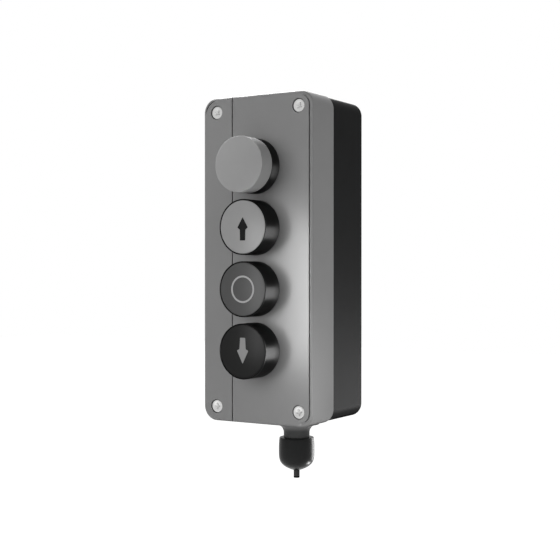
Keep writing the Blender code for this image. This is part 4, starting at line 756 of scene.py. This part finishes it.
def makeGlandRest():
    washer = [(9.8, -88.9), (10.1, -89.1), (10.1, -89.5), (9.8, -89.8), (8.1, -89.8), (8.1, -88.8),
              (9.7, -88.8)]
    finish(turned("glandWasher", washer, glandPlace, "rubberBlack", 96, True),
           "station", "rubber", "gland_washer")
    makeDomeNut()
    r, low, cut = gland["cable"], gland["cableEnd"], gland["cableEnd"] + gland["cutLength"]
    sheath = [(0.0, gland["cableTop"]), (r, gland["cableTop"]), (r, cut), (0.0, cut)]
    finish(turned("cableSheath", sheath, glandPlace, "cableBlack", 48),
           "station", "cable_black", "cable_sheath")
    cutEnd = [(0.0, cut), (r + 0.02, cut), (r + 0.02, low + 0.1), (r - 0.1, low), (0.0, low)]
    finish(turned("cableEnd", cutEnd, glandPlace, "cutBlack", 48), "station", "cable_black")


makeGlandBody()
makeGlandRest()
print("gland and cable made")


# terminal screws, the heads to the rear
terminal = {"head": 2.3, "height": 1.6, "shank": 1.2, "length": 5.0, "slotFloor": 0.9, "turnEach": 0.9}


def makeTerminals():
    radius, height, shank, length = [terminal[k] for k in ("head", "height", "shank", "length")]
    profile = [(0.0, -length), (shank, -length), (shank, 0.0), (radius, 0.0), (radius, height - 0.25),
               (radius - 0.25, height), (0.0, height)]
    turn = Matrix.Rotation(math.radians(-90.0), 4, "X")
    seed = turned("terminalScrew", profile, turn, "zinc", 32)
    carved(seed, [], [block("slot", (-3.0, terminal["slotFloor"], -0.3), (3.0, 3.0, 0.3))])
    names, points = [], []
    for key in headHeights:
        for i in (1, 2):
            low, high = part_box(f"{key}_terminal_{i}")
            points.append(((low.x + high.x) / 2, high.y - height * mm, (low.z + high.z) / 2))
            names.append(f"{key}_terminal_{i}")
    mesh = bpy.data.meshes.new("terminalPoints")
    mesh.from_pydata(points, [], [])
    values = {"Piece": seed, "Turn Each": terminal["turnEach"], "Material": finishes["zinc"]}
    piece = grown("terminalScrews", repeatTree, mesh, values)
    bpy.data.objects.remove(seed)
    return finish(piece, "station", "steel", *names)


makeTerminals()
print("terminal screws made")


# the CAD nodes inside keep their shape
keptNodes = {"cover_gasket": "rubberBlack", "gland_locknut": "nutGrey", "gland_seal": "rubberBlack",
             "lamp_led_block": "blockGrey", "lamp_led": "ledClear", "core_lamp": "coreBlack",
             "core_up": "coreBrown", "core_stop": "coreGrey", "core_down": "coreBlue"}
for key in headHeights:
    keptNodes[f"{key}_gasket"] = "rubberBlack"
    keptNodes[f"{key}_nut"] = "nutGrey"
    keptNodes[f"{key}_adapter"] = "nutGrey"
    if key != "lamp":
        keptNodes[f"{key}_contact_block"] = "blockGrey"
        keptNodes[f"{key}_plunger"] = "plungerWhite"
for name, material in keptNodes.items():
    piece = nodes[name]
    if not piece.material_slots:
        piece.data.materials.append(finishes[material])
    for slot in piece.material_slots:
        slot.material = finishes[material]
print("inner pieces finished:", len(keptNodes))


# floor, world and lights
stage = {"floorZ": -0.36, "floorSize": 8.0, "floorTones": (0.78, 0.82), "floorWhite": 0.9, "fill": 0.27}


def makeFloor():
    material = bpy.data.materials.new("paleFloor")
    material.use_nodes = True
    tree = material.node_tree
    shader = tree.nodes["Principled BSDF"]
    shader.inputs["Roughness"].default_value = 0.9
    shader.inputs["Specular IOR Level"].default_value = 0.0
    place = tree.nodes.new("ShaderNodeTexCoord")
    grain = addNode(tree, "ShaderNodeTexNoise", Scale=3.0, Detail=2.0)
    tone = tree.nodes.new("ShaderNodeValToRGB")
    for element, grey in zip(tone.color_ramp.elements, stage["floorTones"]):
        element.color = (grey, grey, grey, 1.0)
    tree.links.new(place.outputs["Object"], grain.inputs["Vector"])
    tree.links.new(grain.outputs["Fac"], tone.inputs["Fac"])
    tree.links.new(tone.outputs["Color"], shader.inputs["Base Color"])
    seen = backgroundRays(tree)
    glow = tree.nodes.new("ShaderNodeEmission")
    level = addMath(tree, "MULTIPLY", stage["floorWhite"])
    both = tree.nodes.new("ShaderNodeAddShader")
    tree.links.new(seen, level.inputs[0])
    tree.links.new(level.outputs["Value"], glow.inputs["Strength"])
    tree.links.new(shader.outputs["BSDF"], both.inputs[0])
    tree.links.new(glow.outputs["Emission"], both.inputs[1])
    tree.links.new(both.outputs["Shader"], tree.nodes["Material Output"].inputs["Surface"])
    half, z = stage["floorSize"] / 2, stage["floorZ"]
    mesh = bpy.data.meshes.new("floor")
    corners = [(-half, -half, z), (half, -half, z), (half, half, z), (-half, half, z)]
    mesh.from_pydata(corners, [], [(0, 1, 2, 3)])
    mesh.materials.append(material)
    link(bpy.data.objects.new("floor", mesh))


def backgroundRays(tree):
    rays = tree.nodes.new("ShaderNodeLightPath")
    first, second = addMath(tree, "MAXIMUM"), addMath(tree, "MAXIMUM")
    tree.links.new(rays.outputs["Is Camera Ray"], first.inputs[0])
    tree.links.new(rays.outputs["Is Glossy Ray"], first.inputs[1])
    tree.links.new(first.outputs["Value"], second.inputs[0])
    tree.links.new(rays.outputs["Is Transmission Ray"], second.inputs[1])
    return second.outputs["Value"]


def makeWorld():
    world = bpy.data.worlds.new("studio")
    bpy.context.scene.world = world
    world.use_nodes = True
    tree = world.node_tree
    background = tree.nodes["Background"]
    background.inputs["Color"].default_value = (1.0, 1.0, 1.0, 1.0)
    level = addNode(tree, "ShaderNodeMapRange", To_Min=stage["fill"], To_Max=1.0)
    tree.links.new(backgroundRays(tree), level.inputs["Value"])
    tree.links.new(level.outputs["Result"], background.inputs["Strength"])


def addLight(name, place, target, width, height, radiance, diffuse=True, glossy=True, only=None):
    light = bpy.data.lights.new(name, "AREA")
    light.shape = "RECTANGLE"
    light.size, light.size_y = width, height  # in metres, where place and target are in mm
    light.energy = radiance * math.pi * width * height
    holder = link(bpy.data.objects.new(name, light))
    holder.location = Vector(place) * mm
    holder.rotation_euler = (Vector(target) - Vector(place)).to_track_quat("-Z", "Y").to_euler()
    holder.visible_camera = False
    holder.visible_diffuse = diffuse
    holder.visible_glossy = glossy
    if only:  # this light falls on the named pieces alone
        group = bpy.data.collections.new(name + "Targets")
        for piece in only:
            group.objects.link(bpy.data.objects[piece])
        holder.light_linking.receiver_collection = group


makeFloor()
makeWorld()
satinFaces = ["frontCover", "lampLens", "upPlate", "stopPlate", "downPlate"]
bandLevels = {"up": 370.0, "stop": 480.0, "down": 650.0}
addLight("key", (-150, -700, 180), (0, -57, 0), 0.6, 0.5, 3.35, glossy=False)
addLight("sheen", (-26, -169, -20), (36, -57, -18), 0.035, 0.092, 34.0, diffuse=False, only=satinFaces)
addLight("sideLow", (90, -75, -74), (35, -50, -30), 0.04, 0.05, 6.0, glossy=False)
addLight("sideHigh", (150, -60, 60), (35, -50, -30), 0.08, 0.08, 2.3, glossy=False)
for key, radiance in bandLevels.items():
    addLight(f"{key}Band", (330, -70, -90), (0, -65, 0), 0.06, 0.22, radiance, diffuse=False,
             only=[f"{key}Bezel"])
addLight("collarBand", (330, -70, -60), (0, -62, 50), 0.06, 0.24, 190.0, diffuse=False,
         only=["lampCollar"])
addLight("rightBack", (250, 320, -160), (35, -20, -70), 0.20, 0.16, 17.0, diffuse=False,
         only=["rearHousing"])
addLight("topEdge", (-265, -7, 509), (0, -57, 89), 0.45, 0.25, 10.0, diffuse=False, only=["frontCover"])
addLight("lensTop", (-281, -67, 329), (0, -67, 60), 0.06, 0.25, 130.0, glossy=False, only=["lampLens"])
addLight("topBack", (-230, 255, 430), (0, -55, 89), 0.30, 0.30, 12.0)
addLight("nutEdge", (116, 368, -110), (0, -15, -110), 0.18, 0.30, 9.0, diffuse=False,
         only=["glandDomeNut"])
addLight("nutSpot", (127, 172, -300), (9, -15, -113), 0.05, 0.05, 110.0, diffuse=False,
         only=["glandDomeNut"])
print("stage and lights made")
